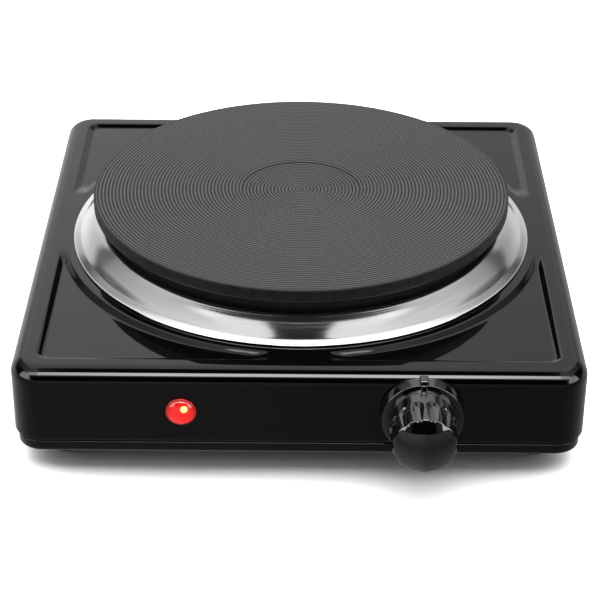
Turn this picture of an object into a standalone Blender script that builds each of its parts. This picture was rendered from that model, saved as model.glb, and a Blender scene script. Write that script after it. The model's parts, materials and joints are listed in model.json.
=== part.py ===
"""A single cast-iron hot plate: housing, trim ring, plate and element, thermostat and wiring.

Lengths are in metres and +Z is up. The table is z = 0, and the front, with the knob, faces -Y.
The stack above the housing top and the stack below it are worked out piece by piece, so that each
piece seats on its neighbour with the gap that touching pieces keep.
"""

import math

import bmesh
import bpy
from mathutils import Matrix, Vector

MM = 0.001

# Gaps
GAP = 0.3 * MM  # between pieces that touch
HOLE_CLEARANCE = 0.4 * MM  # radial, between a hole and what passes through it

# Housing and base tray
BODY_WIDTH = 234 * MM
BODY_DEPTH = 242 * MM
BURNER_SETBACK = 0.95 * MM  # of the plate's axis behind the body's middle
BODY_CORNER = 12 * MM
EDGE_ROUND = 6.3 * MM
HOUSING_TOP = 45.6 * MM
HOUSING_RIM = 12.9 * MM
SHEET = 1.0 * MM
COLLAR_DROP = 4.0 * MM
FOOT_HEIGHT = 6.5 * MM
TRAY_OVERLAP = 4.0 * MM
VENT_WIDTH = 3.0 * MM
VENT_LENGTH = 34 * MM
VENT_PITCH = 8 * MM
VENTS_PER_ROW = 8
VENT_ROW_OFFSET = 42 * MM

# Recessed corner panels of the housing top
FRAME_MARGIN = 3.7 * MM
PANEL_DEPTH = 1.6 * MM
PANEL_CORNER = 5.0 * MM
PANEL_RING_MARGIN = 3.3 * MM
PANEL_END_GAP = 19 * MM
REAR_TIP = 31.5 * MM
FRONT_TIP = 20.5 * MM

# Hot plate
PLATE_RADIUS = 92.5 * MM
PLATE_RISE = 21.0 * MM
PLATE_RIM = 5.3 * MM
PLATE_EDGE = 0.6 * MM
RECESS_RADIUS = 27.3 * MM
RECESS_DEPTH = 0.8 * MM
SKIRT_WALL = 5.0 * MM
BOSS_RADIUS = 12 * MM

# Trim ring
RING_TUCK = 3.9 * MM
RING_WIDTH = 13.6 * MM
RING_RISE = 7.8 * MM
RING_SHEET = 0.8 * MM
RING_LIP = 1.0 * MM
RING_CLEARANCE = 1.8 * MM

# Element, cover and clamp under the plate
COVER_SHEET = 0.8 * MM
CERAMIC_THICKNESS = 3.0 * MM
COIL_RADIUS = 2.6 * MM
COIL_INNER = 34 * MM
COIL_MARGIN = 9.5 * MM
COIL_TURNS = 3
DISC_CLEARANCE = 1.0 * MM
STUD_RADIUS = 3.0 * MM
STUD_GRIP = 5.0 * MM
STUD_END = 1.5 * MM
NUT_FLATS = 10 * MM
THIN_NUT_HEIGHT = 3.0 * MM
NUT_HEIGHT = 5.0 * MM
HEXAGON_FLATNESS = math.cos(math.pi / 6)
WASHER_RADIUS = 9.0 * MM
WASHER_HEIGHT = 1.2 * MM
BRIDGE_SHEET = 1.5 * MM
BRIDGE_WIDTH = 26 * MM
BRIDGE_DROP = 10 * MM
BRIDGE_FOOT = 10 * MM
BRIDGE_CLEARANCE = 3.5 * MM
SHIELD_SHEET = 0.8 * MM
SHIELD_OVERLAP = 1.2 * MM
SHIELD_RIM = 5.0 * MM
SHIELD_WINDOW_WIDTH = 22 * MM
PLATE_BLOCK_WIDTH = 14 * MM
PLATE_BLOCK_HEIGHT = 7.0 * MM
PLATE_BLOCK_END = 5.0 * MM
PIN_RADIUS = 1.4 * MM
PIN_TAIL = 3.7 * MM

# Feet, foot screws and corner posts
FOOT_INSET = 20 * MM
FOOT_RADIUS = 10.5 * MM
FOOT_TAPER = 1.0 * MM
POST_RADIUS = 5.0 * MM
PILOT_DEPTH = 14 * MM
SCREW_RADIUS = 1.9 * MM
SCREW_HEAD_RADIUS = 4.0 * MM
SCREW_HEAD_HEIGHT = 2.2 * MM
SCREW_REACH = 10 * MM
SCREW_SINK = 1.6 * MM

# Controls on the front wall
CONTROL_HEIGHT = 27.5 * MM
KNOB_X = 49.8 * MM
LENS_X = -47.6 * MM
KNOB_STANDOFF = 0.8 * MM
KNOB_RADIUS = 17.25 * MM
KNOB_REACH = 27.4 * MM
SKIRT_THICKNESS = 3.4 * MM
SKIRT_FLANGE = 2.85 * MM
GRIP_TAPER = 1.8 * MM
FLUTES = 14
FLUTE_RADIUS = 2.5 * MM
FLUTE_DEPTH = 1.3 * MM
FLUTE_LAND = 4.8 * MM
POINTER_WIDTH = 3.6 * MM
POINTER_OVERHANG = 1.6 * MM
POINTER_HEIGHT = 1.4 * MM
POINTER_INSET = 0.8 * MM
KNOB_WALL = 2.2 * MM
KNOB_HOLLOW = 8.5 * MM
HUB_RADIUS = 5.6 * MM
SPRING_BAND = 0.7 * MM
SPRING_LENGTH = 3.2 * MM
SHAFT_RADIUS = 3.0 * MM
SHAFT_FLAT = 0.9 * MM
SHAFT_OUT = 15 * MM
SHAFT_IN = 13.5 * MM

# Thermostat behind the knob
BRACKET_WIDTH = 34 * MM
BRACKET_HEIGHT = 19 * MM
BRACKET_SHEET = 1.2 * MM
BUSH_RADIUS = 5.0 * MM
BUSH_OUT = 1.6 * MM
BUSH_SHOULDER = 2.0 * MM
BUSH_FLANGE = 2.0 * MM
BUSH_IN = 5.0 * MM
SMALL_SCREW_RADIUS = 1.5 * MM
SMALL_HEAD_RADIUS = 2.7 * MM
SMALL_HEAD_HEIGHT = 1.5 * MM
SMALL_SCREW_LENGTH = 4.0 * MM
BLADE_THICKNESS = 0.6 * MM
BLADE_WIDTH = 7.0 * MM
BLADE_LENGTH = 24 * MM
STACK_WIDTH = 8.0 * MM
STACK_HEIGHT = 11 * MM
REAR_STACK = 5.0 * MM
RIVET_RADIUS = 1.3 * MM
RIVET_HEAD_RADIUS = 2.3 * MM
RIVET_HEAD = 0.9 * MM
RIVET_BITE = 4.5 * MM
BIMETAL_THICKNESS = 0.9 * MM
BIMETAL_WIDTH = 10 * MM
BIMETAL_LENGTH = 36 * MM

# Indicator
LENS_RADIUS = 6.15 * MM
LENS_DOME = 2.8 * MM
LENS_SHANK = 4.8 * MM
LENS_DEPTH = 13 * MM
LENS_WALL = 1.3 * MM
CLIP_RADIUS = 8.2 * MM
CLIP_SHEET = 0.6 * MM
LAMP_RADIUS = 2.4 * MM
LAMP_LENGTH = 10 * MM
HOLDER_LENGTH = 4.0 * MM

# Cord entry, mains block and wiring
GROMMET_X = -70 * MM
CORD_HOLE = 3.8 * MM
GROMMET_NECK = 6.0 * MM
GROMMET_FLANGE = 8.4 * MM
GROMMET_OUT = 2.6 * MM
GROMMET_IN = 2.4 * MM
BLOCK_X = -70 * MM
BLOCK_FROM_REAR = 34 * MM
BLOCK_WIDTH = 32 * MM
BLOCK_DEPTH = 16 * MM
BLOCK_HEIGHT = 13 * MM
BLOCK_WAYS = 3
WAY_RADIUS = 1.9 * MM
WAY_LEVEL = 0.35  # share of the block's height
EARTH_X = -38 * MM
WIRE_RADIUS = 1.1 * MM
FUSE_RADIUS = 3.0 * MM
FUSE_LENGTH = 15 * MM
WIRE_BEND = 8.0 * MM
WIRE_BEND_STEPS = 4
BEND_SHARE = 0.45  # most of a stretch that a bend takes up
WIRE_LIFT = 3.0 * MM  # of a wire's centre above the tray's floor
EARTH_SCREW_TAIL = 1.5 * MM

ROUND_STEPS = 48
DISC_STEPS = 32
SMALL_ROUND_STEPS = 16
FASTENER_STEPS = 10
KNOB_STEPS = 42
FLUTE_STEPS = 10
COIL_STEPS = 18
SMOOTH_ANGLE = math.radians(35)

# Places worked out from the sizes above
BODY_MIDDLE = -BURNER_SETBACK
FRONT = BODY_MIDDLE - BODY_DEPTH / 2
REAR = BODY_MIDDLE + BODY_DEPTH / 2
INNER_FRONT = FRONT + SHEET
BURNER_Y = (KNOB_REACH - GROMMET_OUT - GAP) / 2 - BODY_MIDDLE
TRAY_FLOOR = FOOT_HEIGHT + SHEET
GRIP_RADIUS = KNOB_RADIUS - SKIRT_FLANGE
CAP_RADIUS = GRIP_RADIUS - GRIP_TAPER
SMALL_SCREW_REACH = KNOB_RADIUS - KNOB_WALL - SMALL_HEAD_RADIUS - HOLE_CLEARANCE
SMALL_SCREW_TIP = FRONT - GAP + SMALL_SCREW_LENGTH
BUSH_FLANGE_RADIUS = BUSH_RADIUS + BUSH_SHOULDER
TRAY_INSET = SHEET + GAP
RING_INNER = PLATE_RADIUS - RING_TUCK
RING_OUTER = RING_INNER + RING_WIDTH
RING_FOOT = HOUSING_TOP + GAP
SKIRT_RADIUS = RING_INNER - RING_SHEET - RING_CLEARANCE
SKIRT_INNER = SKIRT_RADIUS - SKIRT_WALL
SKIRT_BOTTOM = RING_FOOT + RING_SHEET + GAP
SHELF_INNER = SKIRT_INNER + RING_SHEET
OPENING_RADIUS = SHELF_INNER + SHEET
SHIELD_RADIUS = OPENING_RADIUS + SHIELD_OVERLAP
PLATE_TOP = HOUSING_TOP + PLATE_RISE
COVER_TOP = SKIRT_BOTTOM + COVER_SHEET
CERAMIC_BOTTOM = COVER_TOP + GAP
CERAMIC_TOP = CERAMIC_BOTTOM + CERAMIC_THICKNESS
COIL_HEIGHT = CERAMIC_TOP + GAP + COIL_RADIUS
PLATE_UNDERSIDE = COIL_HEIGHT + COIL_RADIUS + GAP
COIL_OUTER = SKIRT_INNER - COIL_MARGIN
HOUSING_UNDERSIDE = HOUSING_TOP - SHEET
BRIDGE_TOP = HOUSING_UNDERSIDE - GAP
STRAP_BOTTOM = BRIDGE_TOP - BRIDGE_DROP - BRIDGE_SHEET
SHIELD_TOP = STRAP_BOTTOM - GAP
WASHER_TOP = SHIELD_TOP - SHIELD_SHEET - GAP
NUT_TOP = WASHER_TOP - WASHER_HEIGHT - GAP
STUD_BOTTOM = NUT_TOP - NUT_HEIGHT - STUD_END
PLATE_BLOCK_TOP = SKIRT_BOTTOM - GAP
PLATE_BLOCK_BOTTOM = PLATE_BLOCK_TOP - PLATE_BLOCK_HEIGHT
PIN_BOTTOM = PLATE_BLOCK_BOTTOM - PIN_TAIL
PANEL_ARC = RING_OUTER + PANEL_RING_MARGIN
PANEL_SIDE = BODY_WIDTH / 2 - EDGE_ROUND - FRAME_MARGIN
PANEL_REAR = REAR - EDGE_ROUND - FRAME_MARGIN
PANEL_FRONT = -FRONT - EDGE_ROUND - FRAME_MARGIN
FOOT_X = BODY_WIDTH / 2 - FOOT_INSET
FOOT_REAR = REAR - FOOT_INSET
FOOT_FRONT = FRONT + FOOT_INSET
POST_TOP = HOUSING_UNDERSIDE - PANEL_DEPTH - GAP
BRACKET_FRONT = INNER_FRONT + GAP
BRACKET_BACK = BRACKET_FRONT + BRACKET_SHEET
FLANGE_BACK = BRACKET_BACK + GAP + BUSH_FLANGE
SHAFT_TIP = FRONT + SHAFT_IN
BLADE_FRONT = SHAFT_TIP + GAP
STACK_X = KNOB_X - BRACKET_WIDTH / 2 + STACK_WIDTH / 2
BLADE_PIVOT = Vector((STACK_X, BLADE_FRONT + BLADE_THICKNESS / 2, CONTROL_HEIGHT))
REAR_STACK_FRONT = BLADE_FRONT + BLADE_THICKNESS + GAP
BIMETAL_FRONT = REAR_STACK_FRONT + REAR_STACK + GAP
BLOCK_Y = REAR - BLOCK_FROM_REAR
BLOCK_BOTTOM = TRAY_FLOOR + GAP
WAY_HEIGHT = BLOCK_BOTTOM + BLOCK_HEIGHT * WAY_LEVEL
WAY_PITCH = BLOCK_WIDTH / BLOCK_WAYS
LAMP_BACK = FRONT + LENS_DEPTH


# ---- helpers ----


def clear_scene():
    for item in list(bpy.data.objects):
        bpy.data.objects.remove(item, do_unlink=True)


def material(name, colour, roughness, metallic=0.0):
    made = bpy.data.materials.new(name)
    made.use_nodes = True
    shader = made.node_tree.nodes["Principled BSDF"]
    shader.inputs["Base Color"].default_value = (*colour, 1.0)
    shader.inputs["Roughness"].default_value = roughness
    shader.inputs["Metallic"].default_value = metallic
    made.diffuse_color = (*colour, 1.0)
    return made


def empty(name, place, parent=None):
    made = bpy.data.objects.new(name, None)
    made.location = place
    made.parent = parent
    made.empty_display_size = 0.02
    bpy.context.scene.collection.objects.link(made)
    return made


def mesh_object(name, shape, parent):
    """An object that owns the finished bmesh, with its normals outwards."""
    bmesh.ops.remove_doubles(shape, verts=shape.verts, dist=1e-7)
    bmesh.ops.recalc_face_normals(shape, faces=shape.faces)
    mesh = bpy.data.meshes.new(name)
    shape.to_mesh(mesh)
    shape.free()
    made = bpy.data.objects.new(name, mesh)
    made.parent = parent
    bpy.context.scene.collection.objects.link(made)
    return made


def piece(name, shape, finish, parent):
    made = mesh_object(name, shape, parent)
    made.data.materials.append(finish)
    made.data.shade_smooth()
    made.data.set_sharp_from_angle(angle=SMOOTH_ANGLE)
    return made


def boolean(target, name, helper, operation):
    """Joins a helper object to the target, or cuts it away, and hides the helper."""
    helper.hide_render = True
    helper.display_type = "WIRE"
    helper.hide_set(True)
    modifier = target.modifiers.new(name, "BOOLEAN")
    modifier.operation = operation
    modifier.solver = "EXACT"
    modifier.object = helper


def cut(target, name, shape):
    boolean(target, name, mesh_object(name, shape, target.parent), "DIFFERENCE")


def join(target, name, shape):
    boolean(target, name, mesh_object(name, shape, target.parent), "UNION")


def add_box(shape, low, high):
    low, high = Vector(low), Vector(high)
    size = high - low
    matrix = Matrix.Translation((low + high) / 2) @ Matrix.Diagonal((*size, 1.0))
    bmesh.ops.create_cube(shape, size=1.0, matrix=matrix)


def add_rod(shape, start, end, radius, steps=SMALL_ROUND_STEPS, end_radius=None):
    """A straight round rod, or a cone where the end radius differs."""
    start, end = Vector(start), Vector(end)
    along = end - start
    turn = Vector((0, 0, 1)).rotation_difference(along).to_matrix().to_4x4()
    bmesh.ops.create_cone(
        shape,
        cap_ends=True,
        segments=steps,
        radius1=radius,
        radius2=radius if end_radius is None else end_radius,
        depth=along.length,
        matrix=Matrix.Translation((start + end) / 2) @ turn,
    )


def box(low, high):
    shape = bmesh.new()
    add_box(shape, low, high)
    return shape


def rod(start, end, radius, steps=SMALL_ROUND_STEPS):
    shape = bmesh.new()
    add_rod(shape, start, end, radius, steps)
    return shape


def turned(profile, steps=ROUND_STEPS, closed=False):
    """A profile of (radius, height) points turned about Z. An open one starts and ends on the axis."""
    shape = bmesh.new()
    points = [shape.verts.new((radius, 0, height)) for radius, height in profile]
    pairs = list(zip(points, points[1:]))
    if closed:
        pairs.append((points[-1], points[0]))
    edges = [shape.edges.new(pair) for pair in pairs]
    bmesh.ops.spin(
        shape,
        geom=points + edges,
        cent=(0, 0, 0),
        axis=(0, 0, 1),
        angle=math.tau,
        steps=steps,
        use_merge=True,
    )
    bmesh.ops.remove_doubles(shape, verts=shape.verts, dist=1e-6)
    return shape


def face_forward(shape, place):
    """Turns a shape made about Z so that its +Z points to -Y, and puts it in its place."""
    matrix = Matrix.Translation(place) @ Matrix.Rotation(math.pi / 2, 4, "X")
    bmesh.ops.transform(shape, matrix=matrix, verts=shape.verts)
    return shape


def arc(centre, radius, start, end, steps):
    """Points on an arc in the XY plane, angles in radians."""
    return [
        (
            centre[0] + radius * math.cos(start + (end - start) * i / steps),
            centre[1] + radius * math.sin(start + (end - start) * i / steps),
        )
        for i in range(steps + 1)
    ]


def body_outline(half_x, half_y, corner, steps=6):
    """A rectangle round the body's middle, with round corners."""
    outline = []
    for turn, (side_x, side_y) in enumerate(((1, 1), (-1, 1), (-1, -1), (1, -1))):
        centre = (side_x * (half_x - corner), BODY_MIDDLE + side_y * (half_y - corner))
        start = turn * math.pi / 2
        outline += arc(centre, corner, start, start + math.pi / 2, steps)
    return outline


def loft(levels):
    """A closed solid through outlines of equal length, each given with its height."""
    shape = bmesh.new()
    loops = [
        [shape.verts.new((x, y, height)) for x, y in outline]
        for outline, height in levels
    ]
    for low, high in zip(loops, loops[1:]):
        for i in range(len(low)):
            j = (i + 1) % len(low)
            shape.faces.new((low[i], low[j], high[j], high[i]))
    shape.faces.new(reversed(loops[0]))
    shape.faces.new(loops[-1])
    return shape


def prism(outline, low, high):
    return loft([(outline, low), (outline, high)])


def rounded_cover(inset, low, high, round_steps=5):
    """The housing's outer form, or its inside when inset by the sheet."""
    levels = []
    corner = BODY_CORNER - inset
    edge = EDGE_ROUND - inset
    half_x = BODY_WIDTH / 2 - inset
    half_y = BODY_DEPTH / 2 - inset
    levels.append((body_outline(half_x, half_y, corner), low))
    for i in range(round_steps + 1):
        angle = math.pi / 2 * i / round_steps
        shrink = edge * (1 - math.cos(angle))
        outline = body_outline(half_x - shrink, half_y - shrink, corner - shrink)
        levels.append((outline, high - edge + edge * math.sin(angle)))
    return loft(levels)


def hexagon(flats, start, height, hole_radius):
    """A hexagon nut standing on Z at the given start, cut through by its hole."""
    radius = flats / math.sqrt(3)
    outline = arc((0, 0), radius, 0, math.tau * 5 / 6, 5)
    inner = arc((0, 0), hole_radius, 0, math.tau * 5 / 6, 5)
    shape = bmesh.new()
    rings = []
    end = start + height
    for points, z in ((inner, start), (outline, start), (outline, end), (inner, end)):
        rings.append([shape.verts.new((x, y, z)) for x, y in points])
    for a, b in zip(rings, rings[1:] + rings[:1]):
        for i in range(6):
            j = (i + 1) % 6
            shape.faces.new((a[i], a[j], b[j], b[i]))
    return shape


def smooth_route(points, corner):
    """A run of straight stretches whose bends are rounded, as a list of points."""
    route = [Vector(points[0])]
    for before, here, after in zip(points, points[1:], points[2:]):
        before, here, after = Vector(before), Vector(here), Vector(after)
        shortest = min((here - before).length, (after - here).length)
        reach = min(corner, shortest * BEND_SHARE)
        enter = here + (before - here).normalized() * reach
        leave = here + (after - here).normalized() * reach
        for i in range(WIRE_BEND_STEPS + 1):
            t = i / WIRE_BEND_STEPS
            route.append(enter * (1 - t) ** 2 + here * 2 * t * (1 - t) + leave * t**2)
    route.append(Vector(points[-1]))
    return route


def tube(name, points, radius, finish, parent):
    """A round tube along the points, with filled ends."""
    curve = bpy.data.curves.new(name, "CURVE")
    curve.dimensions = "3D"
    curve.bevel_depth = radius
    curve.bevel_resolution = 1
    curve.use_fill_caps = True
    spline = curve.splines.new("POLY")
    spline.points.add(len(points) - 1)
    for place, point in zip(points, spline.points):
        point.co = (*place, 1.0)
    made = bpy.data.objects.new(name, curve)
    made.parent = parent
    curve.materials.append(finish)
    bpy.context.scene.collection.objects.link(made)
    return made


# ---- housing and base ----


def panel_outline(side_x, side_y, grow=0.0):
    """One recessed corner panel: two straight sides, a round corner and an arc round the ring."""
    tip = (REAR_TIP if side_y > 0 else FRONT_TIP) - grow
    end = PANEL_END_GAP / 2 - grow
    side = PANEL_SIDE + grow
    back = (PANEL_REAR if side_y > 0 else PANEL_FRONT) + grow
    inner = PANEL_ARC - grow
    corner = PANEL_CORNER + grow
    points = [(side, tip)]
    points += arc((side - corner, back - corner), corner, 0, math.pi / 2, 5)
    points.append((end, back))
    start = math.acos(end / inner)
    stop = math.asin(tip / inner)
    points += arc((0, 0), inner, start, stop, 14)
    outline = [(side_x * x, side_y * y) for x, y in points]
    return outline if side_x * side_y > 0 else outline[::-1]


def top_housing(finish, parent):
    """The pressed shell: one sheet all over, with its panels pressed down and an opening for the plate."""
    housing = piece("top_housing", rounded_cover(0.0, HOUSING_RIM, HOUSING_TOP), finish, parent)
    past = 5 * SHEET
    for side_x in (-1, 1):
        for side_y in (-1, 1):
            place = f"{'right' if side_x > 0 else 'left'}_{'rear' if side_y > 0 else 'front'}"
            panel = prism(panel_outline(side_x, side_y), HOUSING_TOP - PANEL_DEPTH, HOUSING_TOP + past)
            cut(housing, f"panel_{place}", panel)
    inside = mesh_object("inside", rounded_cover(SHEET, HOUSING_RIM - past, HOUSING_UNDERSIDE), parent)
    for side_x in (-1, 1):
        for side_y in (-1, 1):
            place = f"{'right' if side_x > 0 else 'left'}_{'rear' if side_y > 0 else 'front'}"
            outline = panel_outline(side_x, side_y, SHEET)
            pressed = prism(outline, HOUSING_UNDERSIDE - PANEL_DEPTH, HOUSING_UNDERSIDE + past)
            cut(inside, f"pressed_{place}", pressed)
    collar = turned(
        [
            (OPENING_RADIUS - SHEET, HOUSING_UNDERSIDE + past),
            (OPENING_RADIUS - SHEET, HOUSING_UNDERSIDE - COLLAR_DROP),
            (OPENING_RADIUS, HOUSING_UNDERSIDE - COLLAR_DROP),
            (OPENING_RADIUS, HOUSING_UNDERSIDE + past),
        ],
        closed=True,
    )
    cut(inside, "collar", collar)
    boolean(housing, "hollow", inside, "DIFFERENCE")
    opening = rod(
        (0, 0, HOUSING_UNDERSIDE - past), (0, 0, HOUSING_TOP + past), OPENING_RADIUS - SHEET, ROUND_STEPS
    )
    cut(housing, "plate_opening", opening)
    holes = bmesh.new()
    wall_low, wall_high = FRONT - past, FRONT + past
    front_holes = [
        (KNOB_X, BUSH_RADIUS + HOLE_CLEARANCE),
        (LENS_X, LENS_SHANK + HOLE_CLEARANCE),
        (KNOB_X - SMALL_SCREW_REACH, SMALL_SCREW_RADIUS + HOLE_CLEARANCE),
        (KNOB_X + SMALL_SCREW_REACH, SMALL_SCREW_RADIUS + HOLE_CLEARANCE),
    ]
    for x, radius in front_holes:
        add_rod(holes, (x, wall_low, CONTROL_HEIGHT), (x, wall_high, CONTROL_HEIGHT), radius)
    rear_low, rear_high = REAR - past, REAR + past
    start, end = (GROMMET_X, rear_low, CONTROL_HEIGHT), (GROMMET_X, rear_high, CONTROL_HEIGHT)
    add_rod(holes, start, end, GROMMET_NECK + HOLE_CLEARANCE)
    cut(housing, "wall_holes", holes)


def base_tray(finish, parent):
    """The bottom pan, just inside the shell, with vent slots and the foot screw holes."""
    half_x, half_y = BODY_WIDTH / 2 - TRAY_INSET, BODY_DEPTH / 2 - TRAY_INSET
    corner = BODY_CORNER - TRAY_INSET
    rim = HOUSING_RIM + TRAY_OVERLAP
    outer = body_outline(half_x, half_y, corner)
    inner = body_outline(half_x - SHEET, half_y - SHEET, corner - SHEET)
    tray = piece("base_tray", prism(outer, FOOT_HEIGHT, rim), finish, parent)
    cut(tray, "tray_inside", prism(inner, TRAY_FLOOR, rim + SHEET))
    holes = bmesh.new()
    low, high = FOOT_HEIGHT - SHEET, TRAY_FLOOR + SHEET
    for side_x in (-1, 1):
        for y in (FOOT_FRONT, FOOT_REAR):
            x = side_x * FOOT_X
            add_rod(holes, (x, y, low), (x, y, high), SCREW_RADIUS + HOLE_CLEARANCE)
    add_rod(
        holes, (EARTH_X, BLOCK_Y, low), (EARTH_X, BLOCK_Y, high), SMALL_SCREW_RADIUS + HOLE_CLEARANCE
    )
    for side_y in (-1, 1):
        for i in range(VENTS_PER_ROW):
            x = (i - (VENTS_PER_ROW - 1) / 2) * VENT_PITCH
            y = BODY_MIDDLE + side_y * VENT_ROW_OFFSET
            add_box(
                holes,
                (x - VENT_WIDTH / 2, y - VENT_LENGTH / 2, low),
                (x + VENT_WIDTH / 2, y + VENT_LENGTH / 2, high),
            )
    cut(tray, "floor_holes", holes)


def foot_set(rubber, steel, parent):
    """A rubber foot, its screw and the post that the screw bites into, at each corner."""
    for y, depth_name in ((FOOT_FRONT, "front"), (FOOT_REAR, "rear")):
        for side_x, width_name in ((-1, "left"), (1, "right")):
            where = f"{depth_name}_{width_name}"
            at = Matrix.Translation((side_x * FOOT_X, y, 0))
            hole = SCREW_RADIUS + HOLE_CLEARANCE
            head_room = SCREW_HEAD_RADIUS + HOLE_CLEARANCE
            shoulder = SCREW_SINK + SCREW_HEAD_HEIGHT + GAP
            foot = turned(
                [
                    (head_room, 0),
                    (FOOT_RADIUS - FOOT_TAPER, 0),
                    (FOOT_RADIUS, FOOT_TAPER),
                    (FOOT_RADIUS, FOOT_HEIGHT - GAP),
                    (hole, FOOT_HEIGHT - GAP),
                    (hole, shoulder),
                    (head_room, shoulder),
                ],
                SMALL_ROUND_STEPS,
                closed=True,
            )
            bmesh.ops.transform(foot, matrix=at, verts=foot.verts)
            piece(f"foot_{where}", foot, rubber, parent)
            head_top = SCREW_SINK + SCREW_HEAD_HEIGHT
            screw_top = TRAY_FLOOR + GAP + SCREW_REACH
            screw = turned(
                [
                    (0, SCREW_SINK),
                    (SCREW_HEAD_RADIUS * 0.8, SCREW_SINK),
                    (SCREW_HEAD_RADIUS, SCREW_SINK + SCREW_HEAD_HEIGHT * 0.5),
                    (SCREW_HEAD_RADIUS, head_top),
                    (SCREW_RADIUS, head_top),
                    (SCREW_RADIUS, screw_top),
                    (0, screw_top),
                ],
                FASTENER_STEPS,
            )
            bmesh.ops.transform(screw, matrix=at, verts=screw.verts)
            piece(f"foot_screw_{where}", screw, steel, parent)
            post_bottom = TRAY_FLOOR + GAP
            pilot = SCREW_RADIUS + GAP
            post = turned(
                [
                    (pilot, post_bottom),
                    (POST_RADIUS, post_bottom),
                    (POST_RADIUS, POST_TOP),
                    (0, POST_TOP),
                    (0, post_bottom + PILOT_DEPTH),
                    (pilot, post_bottom + PILOT_DEPTH),
                ],
                FASTENER_STEPS,
                closed=True,
            )
            bmesh.ops.transform(post, matrix=at, verts=post.verts)
            piece(f"corner_post_{where}", post, steel, parent)


# ---- ring, plate and what clamps it ----


def trim_ring(finish, parent):
    """Sheet ring: rolled lip on the housing, slope up to the plate, wall down to the plate's seat."""
    slope_foot = RING_OUTER - 2 * RING_LIP
    seat = RING_FOOT + RING_SHEET
    crest = seat + RING_RISE
    thick = RING_SHEET
    profile = [
        (SHELF_INNER, RING_FOOT),
        (RING_INNER, RING_FOOT),
        (RING_INNER, crest - 2.2 * thick),
        (slope_foot - 1.5 * thick, RING_FOOT),
        (RING_OUTER - 0.5 * RING_LIP, RING_FOOT),
        (RING_OUTER, RING_FOOT + 0.5 * RING_LIP),
        (RING_OUTER - 0.4 * RING_LIP, RING_FOOT + 1.1 * RING_LIP),
        (slope_foot, RING_FOOT + 1.2 * RING_LIP),
        (RING_INNER + 1.2 * thick, crest),
        (RING_INNER, crest + 0.2 * thick),
        (RING_INNER - thick, crest - 0.4 * thick),
        (RING_INNER - thick, seat),
        (SHELF_INNER, seat),
    ]
    piece("trim_ring", turned(profile, closed=True), finish, parent)


def hot_plate(finish, parent):
    """The casting: flat top with a centre recess, rim, skirt round the element and a boss for the stud."""
    recess = PLATE_TOP - RECESS_DEPTH
    rim_bottom = PLATE_TOP - PLATE_RIM
    bore = STUD_RADIUS + GAP
    bore_top = PLATE_UNDERSIDE + STUD_GRIP + GAP
    profile = [
        (0, recess),
        (RECESS_RADIUS - RECESS_DEPTH, recess),
        (RECESS_RADIUS, PLATE_TOP),
        (PLATE_RADIUS - PLATE_EDGE, PLATE_TOP),
        (PLATE_RADIUS, PLATE_TOP - PLATE_EDGE),
        (PLATE_RADIUS, rim_bottom + PLATE_EDGE),
        (PLATE_RADIUS - PLATE_EDGE, rim_bottom),
        (SKIRT_RADIUS, rim_bottom - PLATE_EDGE),
        (SKIRT_RADIUS, SKIRT_BOTTOM),
        (SKIRT_INNER, SKIRT_BOTTOM),
        (SKIRT_INNER, PLATE_UNDERSIDE),
        (BOSS_RADIUS, PLATE_UNDERSIDE),
        (BOSS_RADIUS, COVER_TOP + GAP),
        (bore, COVER_TOP + GAP),
        (bore, bore_top),
        (0, bore_top),
    ]
    piece("hot_plate", turned(profile), finish, parent)


def coil_points():
    steps = COIL_STEPS * COIL_TURNS
    points = []
    for i in range(steps + 1):
        share = i / steps
        angle = math.pi / 2 + math.tau * COIL_TURNS * share
        radius = COIL_INNER + (COIL_OUTER - COIL_INNER) * share
        points.append((radius * math.cos(angle), radius * math.sin(angle), COIL_HEIGHT))
    return points


def element(coil_finish, ceramic, steel, parent):
    """The coil under the casting, the ceramic disc that carries it, and the sheet cover."""
    tube("heating_coil", coil_points(), COIL_RADIUS, coil_finish, parent)
    pin_hole = PIN_RADIUS + HOLE_CLEARANCE
    disc = turned(
        [
            (BOSS_RADIUS + DISC_CLEARANCE, CERAMIC_BOTTOM),
            (SKIRT_INNER - DISC_CLEARANCE, CERAMIC_BOTTOM),
            (SKIRT_INNER - DISC_CLEARANCE, CERAMIC_TOP),
            (BOSS_RADIUS + DISC_CLEARANCE, CERAMIC_TOP),
        ],
        DISC_STEPS,
        closed=True,
    )
    ceramic_disc = piece("ceramic_disc", disc, ceramic, parent)
    cover = turned(
        [
            (STUD_RADIUS + HOLE_CLEARANCE, SKIRT_BOTTOM),
            (SKIRT_INNER - GAP, SKIRT_BOTTOM),
            (SKIRT_INNER - GAP, COVER_TOP),
            (STUD_RADIUS + HOLE_CLEARANCE, COVER_TOP),
        ],
        DISC_STEPS,
        closed=True,
    )
    plate_cover = piece("plate_cover", cover, steel, parent)
    for target in (ceramic_disc, plate_cover):
        holes = bmesh.new()
        for y in (COIL_INNER, COIL_OUTER):
            low, high = SKIRT_BOTTOM - SHEET, CERAMIC_TOP + SHEET
            add_rod(holes, (0, y, low), (0, y, high), pin_hole, FASTENER_STEPS)
        cut(target, f"{target.name}_pin_holes", holes)


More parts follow.
